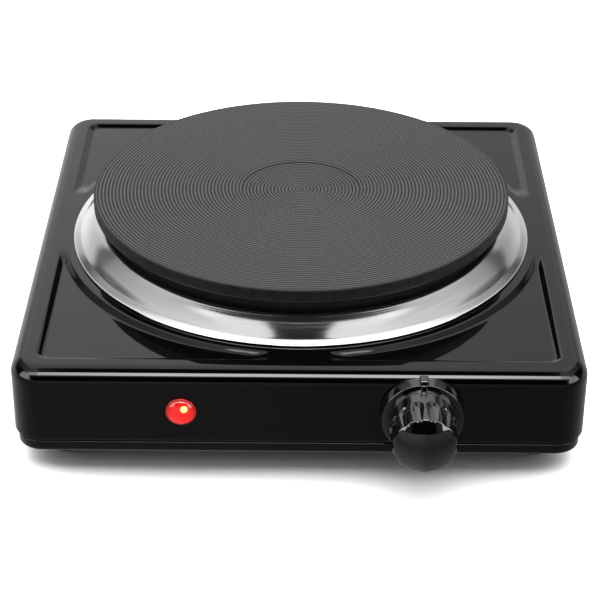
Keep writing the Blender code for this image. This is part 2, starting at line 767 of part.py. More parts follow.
def plate_terminals(ceramic, steel, parent):
    """Ceramic block under the cover, with a pin down from each end of the coil."""
    low = (-PLATE_BLOCK_WIDTH / 2, COIL_INNER - PLATE_BLOCK_END, PLATE_BLOCK_BOTTOM)
    high = (PLATE_BLOCK_WIDTH / 2, COIL_OUTER + PLATE_BLOCK_END, PLATE_BLOCK_TOP)
    block = piece("plate_terminal_block", box(low, high), ceramic, parent)
    holes = bmesh.new()
    for name, y in (("inner", COIL_INNER), ("outer", COIL_OUTER)):
        start = (0, y, PIN_BOTTOM)
        end = (0, y, CERAMIC_TOP)
        piece(f"terminal_pin_{name}", rod(start, end, PIN_RADIUS, FASTENER_STEPS), steel, parent)
        low, high = (0, y, PLATE_BLOCK_BOTTOM - SHEET), (0, y, PLATE_BLOCK_TOP + SHEET)
        add_rod(holes, low, high, PIN_RADIUS + HOLE_CLEARANCE, FASTENER_STEPS)
    cut(block, "block_pin_holes", holes)


def clamp(steel, parent):
    """The stud, and the strap, shield, washer and nuts on it, which pull the plate down on the ring."""
    stud_top = PLATE_UNDERSIDE + STUD_GRIP
    stud = rod((0, 0, STUD_BOTTOM), (0, 0, stud_top), STUD_RADIUS, FASTENER_STEPS)
    piece("plate_stud", stud, steel, parent)
    hole = STUD_RADIUS + HOLE_CLEARANCE
    nut_hole = hole / HEXAGON_FLATNESS
    thin_nut = hexagon(NUT_FLATS, SKIRT_BOTTOM - GAP - THIN_NUT_HEIGHT, THIN_NUT_HEIGHT, nut_hole)
    piece("cover_nut", thin_nut, steel, parent)
    leg = OPENING_RADIUS + BRIDGE_CLEARANCE
    foot = leg + BRIDGE_FOOT
    half = BRIDGE_WIDTH / 2
    strap = bmesh.new()
    side = [
        (foot, BRIDGE_TOP),
        (leg, BRIDGE_TOP),
        (leg, STRAP_BOTTOM + BRIDGE_SHEET),
    ]
    under = [
        (leg + BRIDGE_SHEET, STRAP_BOTTOM),
        (leg + BRIDGE_SHEET, BRIDGE_TOP - BRIDGE_SHEET),
        (foot, BRIDGE_TOP - BRIDGE_SHEET),
    ]
    outline = side + [(-x, z) for x, z in reversed(side)]
    outline += [(-x, z) for x, z in reversed(under)] + under
    face = strap.faces.new([strap.verts.new((x, -half, z)) for x, z in outline])
    made = bmesh.ops.extrude_face_region(strap, geom=[face])
    moved = [item for item in made["geom"] if isinstance(item, bmesh.types.BMVert)]
    bmesh.ops.translate(strap, vec=(0, BRIDGE_WIDTH, 0), verts=moved)
    bridge = piece("clamp_bridge", strap, steel, parent)
    past = 2 * BRIDGE_SHEET
    through = rod((0, 0, STRAP_BOTTOM - past), (0, 0, STRAP_BOTTOM + past), hole, FASTENER_STEPS)
    cut(bridge, "bridge_hole", through)
    washer = turned(
        [
            (hole, WASHER_TOP - WASHER_HEIGHT),
            (WASHER_RADIUS, WASHER_TOP - WASHER_HEIGHT),
            (WASHER_RADIUS, WASHER_TOP),
            (hole, WASHER_TOP),
        ],
        SMALL_ROUND_STEPS,
        closed=True,
    )
    piece("stud_washer", washer, steel, parent)
    nut = hexagon(NUT_FLATS, NUT_TOP - NUT_HEIGHT, NUT_HEIGHT, nut_hole)
    piece("stud_nut", nut, steel, parent)


def heat_shield(finish, parent):
    """A dish with its rim turned down, and a window for the plate's wires."""
    low = SHIELD_TOP - SHIELD_SHEET
    hole = STUD_RADIUS + HOLE_CLEARANCE
    dish = turned(
        [
            (hole, low),
            (SHIELD_RADIUS - SHIELD_SHEET, low),
            (SHIELD_RADIUS - SHIELD_SHEET, low - SHIELD_RIM),
            (SHIELD_RADIUS, low - SHIELD_RIM),
            (SHIELD_RADIUS, SHIELD_TOP),
            (hole, SHIELD_TOP),
        ],
        DISC_STEPS,
        closed=True,
    )
    shield = piece("heat_shield", dish, finish, parent)
    half = SHIELD_WINDOW_WIDTH / 2
    past = 2 * SHIELD_SHEET
    window = box(
        (-half, COIL_INNER - PLATE_BLOCK_END, low - past),
        (half, COIL_OUTER + PLATE_BLOCK_END, SHIELD_TOP + past),
    )
    cut(shield, "shield_window", window)


# ---- controls ----


def knob_shape():
    """The knob about its own axis, +Z pointing out of the panel, z = 0 on the panel."""
    skirt_front = KNOB_STANDOFF + SKIRT_THICKNESS
    hollow = KNOB_STANDOFF + KNOB_HOLLOW
    inner = KNOB_RADIUS - KNOB_WALL
    grip_inner = GRIP_RADIUS - FLUTE_DEPTH - KNOB_WALL
    profile = [
        (0, KNOB_REACH),
        (CAP_RADIUS * 0.45, KNOB_REACH - 0.6 * MM),
        (CAP_RADIUS * 0.75, KNOB_REACH - 1.8 * MM),
        (CAP_RADIUS * 0.93, KNOB_REACH - 2.9 * MM),
        (CAP_RADIUS, KNOB_REACH - 4.2 * MM),
        (GRIP_RADIUS, skirt_front + 1.0 * MM),
        (GRIP_RADIUS + 0.3 * MM, skirt_front),
        (KNOB_RADIUS - 0.6 * MM, skirt_front),
        (KNOB_RADIUS, skirt_front - 0.6 * MM),
        (KNOB_RADIUS, KNOB_STANDOFF),
        (inner, KNOB_STANDOFF),
        (inner, skirt_front - KNOB_WALL / 2),
        (grip_inner, skirt_front - KNOB_WALL / 2),
        (grip_inner, hollow),
        (HUB_RADIUS, hollow),
        (HUB_RADIUS, skirt_front),
        (0, skirt_front),
    ]
    return turned(profile, KNOB_STEPS)


def d_rod(radius, start, end, steps):
    """A round rod along Z with one flat on its upper side once it faces forward."""
    shape = bmesh.new()
    add_rod(shape, (0, 0, start), (0, 0, end), radius, steps)
    cutoff = radius - SHAFT_FLAT
    result = bmesh.ops.bisect_plane(
        shape,
        geom=list(shape.verts) + list(shape.edges) + list(shape.faces),
        plane_co=(0, cutoff, 0),
        plane_no=(0, 1, 0),
        clear_outer=True,
    )
    edges = [item for item in result["geom_cut"] if isinstance(item, bmesh.types.BMEdge)]
    bmesh.ops.edgeloop_fill(shape, edges=edges)
    return shape


def pointer_ridge(skirt_front):
    """The ridge over the skirt: down its edge, and over its face to the grip."""
    root = KNOB_RADIUS - KNOB_WALL / 2
    tip = KNOB_RADIUS + POINTER_OVERHANG
    base = skirt_front - KNOB_WALL / 4
    crest = skirt_front + POINTER_HEIGHT
    outline = [
        (root, KNOB_STANDOFF + POINTER_INSET),
        (tip, KNOB_STANDOFF + POINTER_INSET),
        (tip, crest),
        (GRIP_RADIUS - POINTER_HEIGHT, crest),
        (GRIP_RADIUS - POINTER_HEIGHT, base),
        (root, base),
    ]
    ridge = bmesh.new()
    half = POINTER_WIDTH / 2
    face = ridge.faces.new([ridge.verts.new((-half, radius, z)) for radius, z in outline])
    made = bmesh.ops.extrude_face_region(ridge, geom=[face])
    moved = [item for item in made["geom"] if isinstance(item, bmesh.types.BMVert)]
    bmesh.ops.translate(ridge, vec=(POINTER_WIDTH, 0, 0), verts=moved)
    return ridge


def knob(finish, steel, axis):
    """The fluted knob with its pointer, the spring band on its hub, and the shaft it grips."""
    made = piece("knob", face_forward(knob_shape(), (0, 0, 0)), finish, axis)
    skirt_front = KNOB_STANDOFF + SKIRT_THICKNESS
    join(made, "pointer", face_forward(pointer_ridge(skirt_front), (0, 0, 0)))
    flutes = bmesh.new()
    for i in range(FLUTES):
        angle = math.tau * (i + 0.5) / FLUTES
        centre = GRIP_RADIUS - FLUTE_DEPTH + FLUTE_RADIUS
        start = Vector((centre * math.sin(angle), centre * math.cos(angle), skirt_front + 0.5 * MM))
        cap_centre = CAP_RADIUS - FLUTE_DEPTH + FLUTE_RADIUS
        top = KNOB_REACH - FLUTE_LAND
        end = Vector((cap_centre * math.sin(angle), cap_centre * math.cos(angle), top))
        add_rod(flutes, start, end, FLUTE_RADIUS, FLUTE_STEPS)
    cut(made, "flutes", face_forward(flutes, (0, 0, 0)))
    bore = d_rod(SHAFT_RADIUS + GAP, skirt_front - 1 * MM, SHAFT_OUT + GAP, SMALL_ROUND_STEPS)
    cut(made, "shaft_bore", face_forward(bore, (0, 0, 0)))
    band_start = skirt_front + 0.8 * MM
    band = turned(
        [
            (HUB_RADIUS + GAP, band_start),
            (HUB_RADIUS + GAP + SPRING_BAND, band_start),
            (HUB_RADIUS + GAP + SPRING_BAND, band_start + SPRING_LENGTH),
            (HUB_RADIUS + GAP, band_start + SPRING_LENGTH),
        ],
        SMALL_ROUND_STEPS,
        closed=True,
    )
    piece("knob_spring", face_forward(band, (0, 0, 0)), steel, axis)
    shaft = d_rod(SHAFT_RADIUS, -SHAFT_IN, SHAFT_OUT, SMALL_ROUND_STEPS)
    piece("thermostat_shaft", face_forward(shaft, (0, 0, 0)), steel, axis)


def thermostat(brass, ceramic, steel, bimetal, parent, blade_axis):
    """Bracket and bush on the front wall, and the contact stack behind them."""
    centre = Vector((KNOB_X, 0, CONTROL_HEIGHT))
    half_x, half_z = BRACKET_WIDTH / 2, BRACKET_HEIGHT / 2
    low = (KNOB_X - half_x, BRACKET_FRONT, CONTROL_HEIGHT - half_z)
    high = (KNOB_X + half_x, BRACKET_BACK, CONTROL_HEIGHT + half_z)
    bracket = piece("thermostat_bracket", box(low, high), steel, parent)
    holes = bmesh.new()
    wall = (BRACKET_FRONT - SHEET, BRACKET_BACK + SHEET)
    bracket_holes = [
        (KNOB_X, BUSH_RADIUS + HOLE_CLEARANCE),
        (KNOB_X - SMALL_SCREW_REACH, SMALL_SCREW_RADIUS + HOLE_CLEARANCE),
        (KNOB_X + SMALL_SCREW_REACH, SMALL_SCREW_RADIUS + HOLE_CLEARANCE),
    ]
    for x, radius in bracket_holes:
        add_rod(holes, (x, wall[0], CONTROL_HEIGHT), (x, wall[1], CONTROL_HEIGHT), radius)
    cut(bracket, "bracket_holes", holes)

    bore = SHAFT_RADIUS + GAP
    flange_front = BRACKET_BACK + GAP
    profile = [
        (bore, FRONT - BUSH_OUT),
        (BUSH_RADIUS, FRONT - BUSH_OUT),
        (BUSH_RADIUS, flange_front),
        (BUSH_FLANGE_RADIUS, flange_front),
        (BUSH_FLANGE_RADIUS, FLANGE_BACK),
        (BUSH_RADIUS, FLANGE_BACK),
        (BUSH_RADIUS, FLANGE_BACK + BUSH_IN),
        (bore, FLANGE_BACK + BUSH_IN),
    ]
    bush = turned([(radius, -y) for radius, y in profile], SMALL_ROUND_STEPS, closed=True)
    piece("thermostat_bush", face_forward(bush, centre), brass, parent)

    for side, side_name in ((-1, "left"), (1, "right")):
        x = KNOB_X + side * SMALL_SCREW_REACH
        seat = GAP
        screw = turned(
            [
                (0, seat + SMALL_HEAD_HEIGHT),
                (SMALL_HEAD_RADIUS * 0.7, seat + SMALL_HEAD_HEIGHT),
                (SMALL_HEAD_RADIUS, seat + SMALL_HEAD_HEIGHT * 0.5),
                (SMALL_HEAD_RADIUS, seat),
                (SMALL_SCREW_RADIUS, seat),
                (SMALL_SCREW_RADIUS, seat - SMALL_SCREW_LENGTH),
                (0, seat - SMALL_SCREW_LENGTH),
            ],
            FASTENER_STEPS,
        )
        piece(
            f"thermostat_screw_{side_name}",
            face_forward(screw, (x, FRONT, CONTROL_HEIGHT)),
            steel,
            parent,
        )

    stack(brass, ceramic, steel, bimetal, parent, blade_axis)


def stack(brass, ceramic, steel, bimetal, parent, blade_axis):
    """Contact blade between two insulators and the bimetal strip behind them, on one rivet."""
    low_x, high_x = STACK_X - STACK_WIDTH / 2, STACK_X + STACK_WIDTH / 2
    low_z, high_z = CONTROL_HEIGHT - STACK_HEIGHT / 2, CONTROL_HEIGHT + STACK_HEIGHT / 2
    front_start = BRACKET_BACK + GAP
    rivet_start = BLADE_FRONT - RIVET_BITE
    rivet_end = BIMETAL_FRONT + BIMETAL_THICKNESS + GAP
    hole = RIVET_RADIUS + HOLE_CLEARANCE

    front = box((low_x, front_start, low_z), (high_x, BLADE_FRONT - GAP, high_z))
    front_insulator = piece("stack_insulator_front", front, ceramic, parent)
    pockets = bmesh.new()
    screw_x = KNOB_X - SMALL_SCREW_REACH
    add_rod(
        pockets,
        (screw_x, front_start - SHEET, CONTROL_HEIGHT),
        (screw_x, SMALL_SCREW_TIP + GAP, CONTROL_HEIGHT),
        SMALL_SCREW_RADIUS + HOLE_CLEARANCE,
        FASTENER_STEPS,
    )
    add_rod(
        pockets,
        (STACK_X, rivet_start - GAP, CONTROL_HEIGHT),
        (STACK_X, BLADE_FRONT + SHEET, CONTROL_HEIGHT),
        hole,
        FASTENER_STEPS,
    )
    cut(front_insulator, "front_insulator_pockets", pockets)

    rear = box((low_x, REAR_STACK_FRONT, low_z), (high_x, BIMETAL_FRONT - GAP, high_z))
    rear_insulator = piece("stack_insulator_rear", rear, ceramic, parent)
    strip = box(
        (low_x, BIMETAL_FRONT, CONTROL_HEIGHT - BIMETAL_WIDTH / 2),
        (
            low_x + BIMETAL_LENGTH,
            BIMETAL_FRONT + BIMETAL_THICKNESS,
            CONTROL_HEIGHT + BIMETAL_WIDTH / 2,
        ),
    )
    bimetal_strip = piece("bimetal_strip", strip, bimetal, parent)
    for target in (rear_insulator, bimetal_strip):
        start, end = (STACK_X, rivet_start, CONTROL_HEIGHT), (STACK_X, rivet_end + SHEET, CONTROL_HEIGHT)
        cut(target, f"{target.name}_hole", rod(start, end, hole, FASTENER_STEPS))

    leaf = box(
        (-STACK_WIDTH / 2, -BLADE_THICKNESS / 2, -BLADE_WIDTH / 2),
        (BLADE_LENGTH, BLADE_THICKNESS / 2, BLADE_WIDTH / 2),
    )
    blade = piece("contact_blade", leaf, brass, blade_axis)
    cut(blade, "blade_hole", rod((0, -SHEET, 0), (0, SHEET, 0), hole, FASTENER_STEPS))

    rivet = turned(
        [
            (0, -rivet_start),
            (RIVET_RADIUS, -rivet_start),
            (RIVET_RADIUS, -rivet_end),
            (RIVET_HEAD_RADIUS, -rivet_end),
            (RIVET_HEAD_RADIUS * 0.8, -rivet_end - RIVET_HEAD),
            (0, -rivet_end - RIVET_HEAD),
        ],
        FASTENER_STEPS,
    )
    piece("stack_rivet", face_forward(rivet, (STACK_X, 0, CONTROL_HEIGHT)), steel, parent)


def indicator(lens_finish, glass, steel, plastic, parent):
    """Lens through the front wall, clip behind the wall, neon lamp and its holder."""
    place = (LENS_X, FRONT, CONTROL_HEIGHT)
    bore = LENS_SHANK - LENS_WALL
    flange = GAP + 0.8 * MM
    lens = turned(
        [
            (0, GAP + LENS_DOME),
            (LENS_RADIUS * 0.45, GAP + LENS_DOME * 0.93),
            (LENS_RADIUS * 0.8, GAP + LENS_DOME * 0.68),
            (LENS_RADIUS, flange),
            (LENS_RADIUS, GAP),
            (LENS_SHANK, GAP),
            (LENS_SHANK, -LENS_DEPTH),
            (bore, -LENS_DEPTH),
            (bore, 0),
            (0, 0),
        ],
        SMALL_ROUND_STEPS,
    )
    piece("indicator_lens", face_forward(lens, place), lens_finish, parent)
    clip_front = -SHEET - GAP
    clip = turned(
        [
            (LENS_SHANK + GAP, clip_front - CLIP_SHEET),
            (CLIP_RADIUS, clip_front - CLIP_SHEET),
            (CLIP_RADIUS, clip_front),
            (LENS_SHANK + GAP, clip_front),
        ],
        SMALL_ROUND_STEPS,
        closed=True,
    )
    piece("lens_clip", face_forward(clip, place), steel, parent)
    lamp = turned(
        [
            (0, -GAP),
            (LAMP_RADIUS * 0.6, -GAP - 0.4 * MM),
            (LAMP_RADIUS, -GAP - 2 * MM),
            (LAMP_RADIUS, -GAP - LAMP_LENGTH),
            (0, -GAP - LAMP_LENGTH),
        ],
        FASTENER_STEPS,
    )
    piece("neon_lamp", face_forward(lamp, place), glass, parent)
    holder = turned(
        [
            (0, -LENS_DEPTH - GAP),
            (LENS_SHANK, -LENS_DEPTH - GAP),
            (LENS_SHANK, -LENS_DEPTH - GAP - HOLDER_LENGTH),
            (0, -LENS_DEPTH - GAP - HOLDER_LENGTH),
        ],
        FASTENER_STEPS,
    )
    piece("lamp_holder", face_forward(holder, place), plastic, parent)


# ---- cord entry, mains block and wires ----


def cord_grommet(finish, parent):
    """Snap-in bush in the rear wall, open for the cord."""
    outer, inner = REAR + GAP, REAR - SHEET - GAP
    profile = [
        (CORD_HOLE, outer + GROMMET_OUT),
        (GROMMET_FLANGE - 1 * MM, outer + GROMMET_OUT),
        (GROMMET_FLANGE, outer + GROMMET_OUT - 1 * MM),
        (GROMMET_FLANGE, outer),
        (GROMMET_NECK, outer),
        (GROMMET_NECK, inner),
        (GROMMET_FLANGE, inner),
        (GROMMET_FLANGE - 1 * MM, inner - GROMMET_IN),
        (CORD_HOLE, inner - GROMMET_IN),
    ]
    shape = turned([(radius, -y) for radius, y in profile], SMALL_ROUND_STEPS, closed=True)
    piece("cord_grommet", face_forward(shape, (GROMMET_X, 0, CONTROL_HEIGHT)), finish, parent)


def way_x(index):
    return BLOCK_X + (index - (BLOCK_WAYS - 1) / 2) * WAY_PITCH


def mains_block(nylon, brass, steel, parent):
    """Three-way terminal block on the tray, its screws, and the earth screw beside it."""
    low = (BLOCK_X - BLOCK_WIDTH / 2, BLOCK_Y - BLOCK_DEPTH / 2, BLOCK_BOTTOM)
    high = (BLOCK_X + BLOCK_WIDTH / 2, BLOCK_Y + BLOCK_DEPTH / 2, BLOCK_BOTTOM + BLOCK_HEIGHT)
    block = piece("mains_terminal_block", box(low, high), nylon, parent)
    top = BLOCK_BOTTOM + BLOCK_HEIGHT
    screw_hole = SMALL_SCREW_RADIUS + HOLE_CLEARANCE
    ways = bmesh.new()
    screw_holes = bmesh.new()
    for i in range(BLOCK_WAYS):
        x = way_x(i)
        front, back = BLOCK_Y - BLOCK_DEPTH, BLOCK_Y + BLOCK_DEPTH
        add_rod(ways, (x, front, WAY_HEIGHT), (x, back, WAY_HEIGHT), WAY_RADIUS, FASTENER_STEPS)
        start, end = (x, BLOCK_Y, WAY_HEIGHT), (x, BLOCK_Y, top + SHEET)
        add_rod(screw_holes, start, end, screw_hole, FASTENER_STEPS)
        start, end = (x, BLOCK_Y, WAY_HEIGHT + WAY_RADIUS + GAP), (x, BLOCK_Y, top)
        screw = rod(start, end, SMALL_SCREW_RADIUS, FASTENER_STEPS)
        piece(f"terminal_screw_{i + 1}", screw, brass, parent)
    cut(block, "ways", ways)
    cut(block, "screw_holes", screw_holes)
    seat = TRAY_FLOOR + GAP
    earth = turned(
        [
            (0, seat + SMALL_HEAD_HEIGHT),
            (SMALL_HEAD_RADIUS, seat + SMALL_HEAD_HEIGHT),
            (SMALL_HEAD_RADIUS, seat),
            (SMALL_SCREW_RADIUS, seat),
            (SMALL_SCREW_RADIUS, FOOT_HEIGHT - EARTH_SCREW_TAIL),
            (0, FOOT_HEIGHT - EARTH_SCREW_TAIL),
        ],
        FASTENER_STEPS,
    )
    place = Matrix.Translation((EARTH_X, BLOCK_Y, 0))
    bmesh.ops.transform(earth, matrix=place, verts=earth.verts)
    piece("earth_screw", earth, brass, parent)


def wiring(insulations, fuse_finish, parent):
    """Wires from the mains block to the thermostat, lamp and plate, each on its own route."""
    floor = TRAY_FLOOR + WIRE_LIFT
    live_x, neutral_x, earth_x = way_x(0), way_x(1), way_x(2)
    way_front = BLOCK_Y - BLOCK_DEPTH / 2 - GAP
    stack_back = BIMETAL_FRONT + BIMETAL_THICKNESS + GAP
    stack_x = STACK_X
    tab = RIVET_HEAD_RADIUS + WIRE_RADIUS + 2 * GAP
    pin_end = PIN_BOTTOM - GAP
    fuse_y = COIL_OUTER - 30 * MM
    fuse_x = 34 * MM
    lamp_end = FRONT + LENS_DEPTH + GAP + HOLDER_LENGTH + GAP
    wall_x = -FOOT_X - POST_RADIUS - 5 * MM
    wall_y = FOOT_REAR + POST_RADIUS + 5 * MM
    routes = {
        "wire_live": (
            "brown",
            [
                (live_x, way_front, WAY_HEIGHT),
                (live_x, way_front - 30 * MM, floor),
                (live_x, -30 * MM, floor),
                (stack_x, -62 * MM, floor),
                (stack_x, -84 * MM, CONTROL_HEIGHT - tab),
                (stack_x, stack_back, CONTROL_HEIGHT - tab),
            ],
        ),
        "wire_switched": (
            "black",
            [
                (stack_x + 16 * MM, stack_back, CONTROL_HEIGHT),
                (stack_x + 16 * MM, -84 * MM, CONTROL_HEIGHT - 4 * MM),
                (fuse_x, -50 * MM, floor + 6 * MM),
                (fuse_x, fuse_y - FUSE_LENGTH / 2 - GAP, floor + 6 * MM),
            ],
        ),
        "wire_fused": (
            "black",
            [
                (fuse_x, fuse_y + FUSE_LENGTH / 2 + GAP, floor + 6 * MM),
                (fuse_x, COIL_OUTER, floor + 6 * MM),
                (0, COIL_OUTER, floor + 8 * MM),
                (0, COIL_OUTER, pin_end),
            ],
        ),
        "wire_neutral": (
            "blue",
            [
                (neutral_x, way_front, WAY_HEIGHT),
                (neutral_x, way_front - 16 * MM, floor + 5 * MM),
                (-20 * MM, COIL_INNER + 4 * MM, floor + 6 * MM),
                (0, COIL_INNER, floor + 6 * MM),
                (0, COIL_INNER, pin_end),
            ],
        ),
        "wire_earth": (
            "green",
            [
                (earth_x, way_front, WAY_HEIGHT),
                (earth_x, way_front - 8 * MM, WAY_HEIGHT),
                (EARTH_X - 6 * MM, way_front - 8 * MM, floor),
                (EARTH_X, BLOCK_Y - SMALL_HEAD_RADIUS - GAP, TRAY_FLOOR + GAP + WIRE_RADIUS + 0.1 * MM),
            ],
        ),
        "wire_lamp_live": (
            "brown",
            [
                (LENS_X + 2 * MM, lamp_end, CONTROL_HEIGHT),
                (LENS_X + 2 * MM, lamp_end + 6 * MM, CONTROL_HEIGHT),
                (-20 * MM, -96 * MM, CONTROL_HEIGHT - 9 * MM),
                (stack_x - 24 * MM, -96 * MM, CONTROL_HEIGHT - 9 * MM),
                (stack_x - 12 * MM, -94 * MM, CONTROL_HEIGHT + 2 * MM),
                (stack_x, -88 * MM, CONTROL_HEIGHT + tab),
                (stack_x, stack_back, CONTROL_HEIGHT + tab),
            ],
        ),
        "wire_lamp_neutral": (
            "blue",
            [
                (LENS_X - 2 * MM, lamp_end, CONTROL_HEIGHT),
                (LENS_X - 2 * MM, lamp_end + 6 * MM, CONTROL_HEIGHT),
                (LENS_X - 6 * MM, -70 * MM, floor + 6 * MM),
                (wall_x, -20 * MM, floor + 6 * MM),
                (wall_x, wall_y, floor + 6 * MM),
                (neutral_x, wall_y, floor + 6 * MM),
                (neutral_x, BLOCK_Y + BLOCK_DEPTH / 2 + GAP, WAY_HEIGHT),
            ],
        ),
    }
    for name, (colour, points) in routes.items():
        tube(name, smooth_route(points, WIRE_BEND), WIRE_RADIUS, insulations[colour], parent)
    fuse = rod(
        (fuse_x, fuse_y - FUSE_LENGTH / 2, floor + 6 * MM),
        (fuse_x, fuse_y + FUSE_LENGTH / 2, floor + 6 * MM),
        FUSE_RADIUS,
        FASTENER_STEPS,
    )
    piece("thermal_fuse", fuse, fuse_finish, parent)


def build():
    clear_scene()
    enamel = material("black_enamel", (0.006, 0.006, 0.007), 0.08)
    tray_paint = material("black_tray_paint", (0.012, 0.012, 0.013), 0.35)
    rubber = material("foot_rubber", (0.02, 0.02, 0.02), 0.8)
    steel = material("zinc_steel", (0.55, 0.56, 0.57), 0.35, 1.0)
    polished = material("polished_steel", (0.83, 0.83, 0.82), 0.06, 1.0)
    iron = material("black_cast_iron", (0.045, 0.045, 0.047), 0.5, 0.3)
    coil_finish = material("element_sheath", (0.12, 0.11, 0.1), 0.5, 1.0)
    ceramic = material("steatite", (0.78, 0.75, 0.68), 0.5)
    shield_finish = material("aluminised_sheet", (0.72, 0.73, 0.74), 0.3, 1.0)
    knob_plastic = material("black_knob", (0.008, 0.008, 0.008), 0.15)
    brass = material("brass", (0.75, 0.55, 0.25), 0.3, 1.0)
    bimetal = material("bimetal", (0.5, 0.45, 0.4), 0.35, 1.0)
    lens_finish = material("red_lens", (0.75, 0.01, 0.01), 0.08)
    glass = material("lamp_glass", (0.9, 0.5, 0.35), 0.05)
    plastic = material("black_plastic", (0.015, 0.015, 0.015), 0.5)
    nylon = material("white_nylon", (0.8, 0.8, 0.78), 0.5)
    fuse_finish = material("fuse_sleeve", (0.75, 0.72, 0.62), 0.7)
    insulations = {
        "brown": material("brown_insulation", (0.16, 0.06, 0.02), 0.5),
        "blue": material("blue_insulation", (0.02, 0.08, 0.4), 0.5),
        "black": material("black_insulation", (0.02, 0.02, 0.02), 0.5),
        "green": material("green_insulation", (0.1, 0.4, 0.05), 0.5),
    }
    burner = empty("burner_axis", (0, BURNER_Y, 0))
    knob_axis = empty("knob_axis", (KNOB_X, FRONT, CONTROL_HEIGHT), burner)
    blade_axis = empty("blade_axis", BLADE_PIVOT, burner)
    top_housing(enamel, burner)
    base_tray(tray_paint, burner)
    foot_set(rubber, steel, burner)
    trim_ring(polished, burner)
    hot_plate(iron, burner)
    element(coil_finish, ceramic, steel, burner)
    plate_terminals(ceramic, steel, burner)
    clamp(steel, burner)
    heat_shield(shield_finish, burner)
    knob(knob_plastic, steel, knob_axis)
    thermostat(brass, ceramic, steel, bimetal, burner, blade_axis)
    indicator(lens_finish, glass, steel, plastic, burner)
    cord_grommet(rubber, burner)
    mains_block(nylon, brass, steel, burner)
    wiring(insulations, fuse_finish, burner)


build()
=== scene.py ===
"""The visible pieces, finishes and studio of a tabletop hot plate burner.

The file is laid out as an add-on and is run as a script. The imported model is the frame: its bodies
carry the pieces, and their places come from its boxes. Lengths are in metres and +Z is up. The knob
and the lens are on the front wall, which faces -Y.
"""

import json
import math

import bmesh
import bpy
from bpy.props import FloatProperty, FloatVectorProperty, IntProperty, PointerProperty
from mathutils import Matrix, Vector


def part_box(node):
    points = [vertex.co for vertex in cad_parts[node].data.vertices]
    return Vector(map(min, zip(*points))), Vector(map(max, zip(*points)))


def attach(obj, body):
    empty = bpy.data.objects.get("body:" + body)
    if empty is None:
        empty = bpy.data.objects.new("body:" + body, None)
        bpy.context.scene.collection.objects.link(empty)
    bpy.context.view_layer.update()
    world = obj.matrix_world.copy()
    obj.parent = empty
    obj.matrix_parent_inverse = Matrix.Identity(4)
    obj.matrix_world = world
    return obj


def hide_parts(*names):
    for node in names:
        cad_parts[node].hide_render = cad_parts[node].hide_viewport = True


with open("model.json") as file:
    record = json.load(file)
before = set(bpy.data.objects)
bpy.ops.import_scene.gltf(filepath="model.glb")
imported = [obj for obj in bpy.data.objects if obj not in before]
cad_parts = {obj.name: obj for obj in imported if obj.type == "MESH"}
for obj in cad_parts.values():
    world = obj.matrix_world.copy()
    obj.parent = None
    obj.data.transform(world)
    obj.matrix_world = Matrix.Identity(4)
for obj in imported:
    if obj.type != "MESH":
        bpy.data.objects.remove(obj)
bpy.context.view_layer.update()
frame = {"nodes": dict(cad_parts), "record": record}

bl_info = {
    "name": "Hot Plate Burner",
    "version": (1, 0, 0),
    "blender": (4, 5, 0),
    "location": "3D View > Sidebar > Burner",
    "description": "Builds the visible pieces, finishes and studio of a tabletop hot plate",
    "category": "Object",
}

MM = 0.001


def box_of(name):
    """The low and high corners of a CAD node's box."""
    return [Vector(corner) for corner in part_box(name)]


SHELL_LOW, SHELL_HIGH = box_of("top_housing")
TRAY_LOW, TRAY_HIGH = box_of("base_tray")
RING_LOW, RING_HIGH = box_of("trim_ring")
PLATE_LOW, PLATE_HIGH = box_of("hot_plate")
KNOB_LOW, KNOB_HIGH = box_of("knob")
LENS_LOW, LENS_HIGH = box_of("indicator_lens")
GROMMET_LOW, GROMMET_HIGH = box_of("cord_grommet")

MIDDLE = (SHELL_LOW + SHELL_HIGH) / 2
HALF_X = (SHELL_HIGH.x - SHELL_LOW.x) / 2
HALF_Y = (SHELL_HIGH.y - SHELL_LOW.y) / 2
AXIS = Vector(((PLATE_LOW.x + PLATE_HIGH.x) / 2, (PLATE_LOW.y + PLATE_HIGH.y) / 2, 0))
TOP = SHELL_HIGH.z
FRONT_WALL = SHELL_LOW.y
REAR_WALL = SHELL_HIGH.y
PLATE_RADIUS = (PLATE_HIGH.x - PLATE_LOW.x) / 2
RING_OUTER = (RING_HIGH.x - RING_LOW.x) / 2
KNOB_RADIUS = (KNOB_HIGH.x - KNOB_LOW.x) / 2
KNOB_CENTRE = Vector(((KNOB_LOW.x + KNOB_HIGH.x) / 2, FRONT_WALL, KNOB_LOW.z + KNOB_RADIUS))
KNOB_REACH = FRONT_WALL - KNOB_LOW.y
LENS_CENTRE = (LENS_LOW + LENS_HIGH) / 2
LENS_CENTRE.y = FRONT_WALL
GROMMET_CENTRE = (GROMMET_LOW + GROMMET_HIGH) / 2
GROMMET_CENTRE.y = REAR_WALL
ROOT_BODY = "housing"
KNOB_BODY = "control"
SHEET_ANGLE = 50
FEET = ("foot_front_left", "foot_front_right", "foot_rear_left", "foot_rear_right")


# ---- sizes and colours ----


def length(name, description, millimetres):
    size = millimetres * MM
    return FloatProperty(name=name, description=description, default=size, unit="LENGTH")


def colour(name, description, default):
    return FloatVectorProperty(
        name=name, description=description, default=default, subtype="COLOR", min=0, max=1
    )


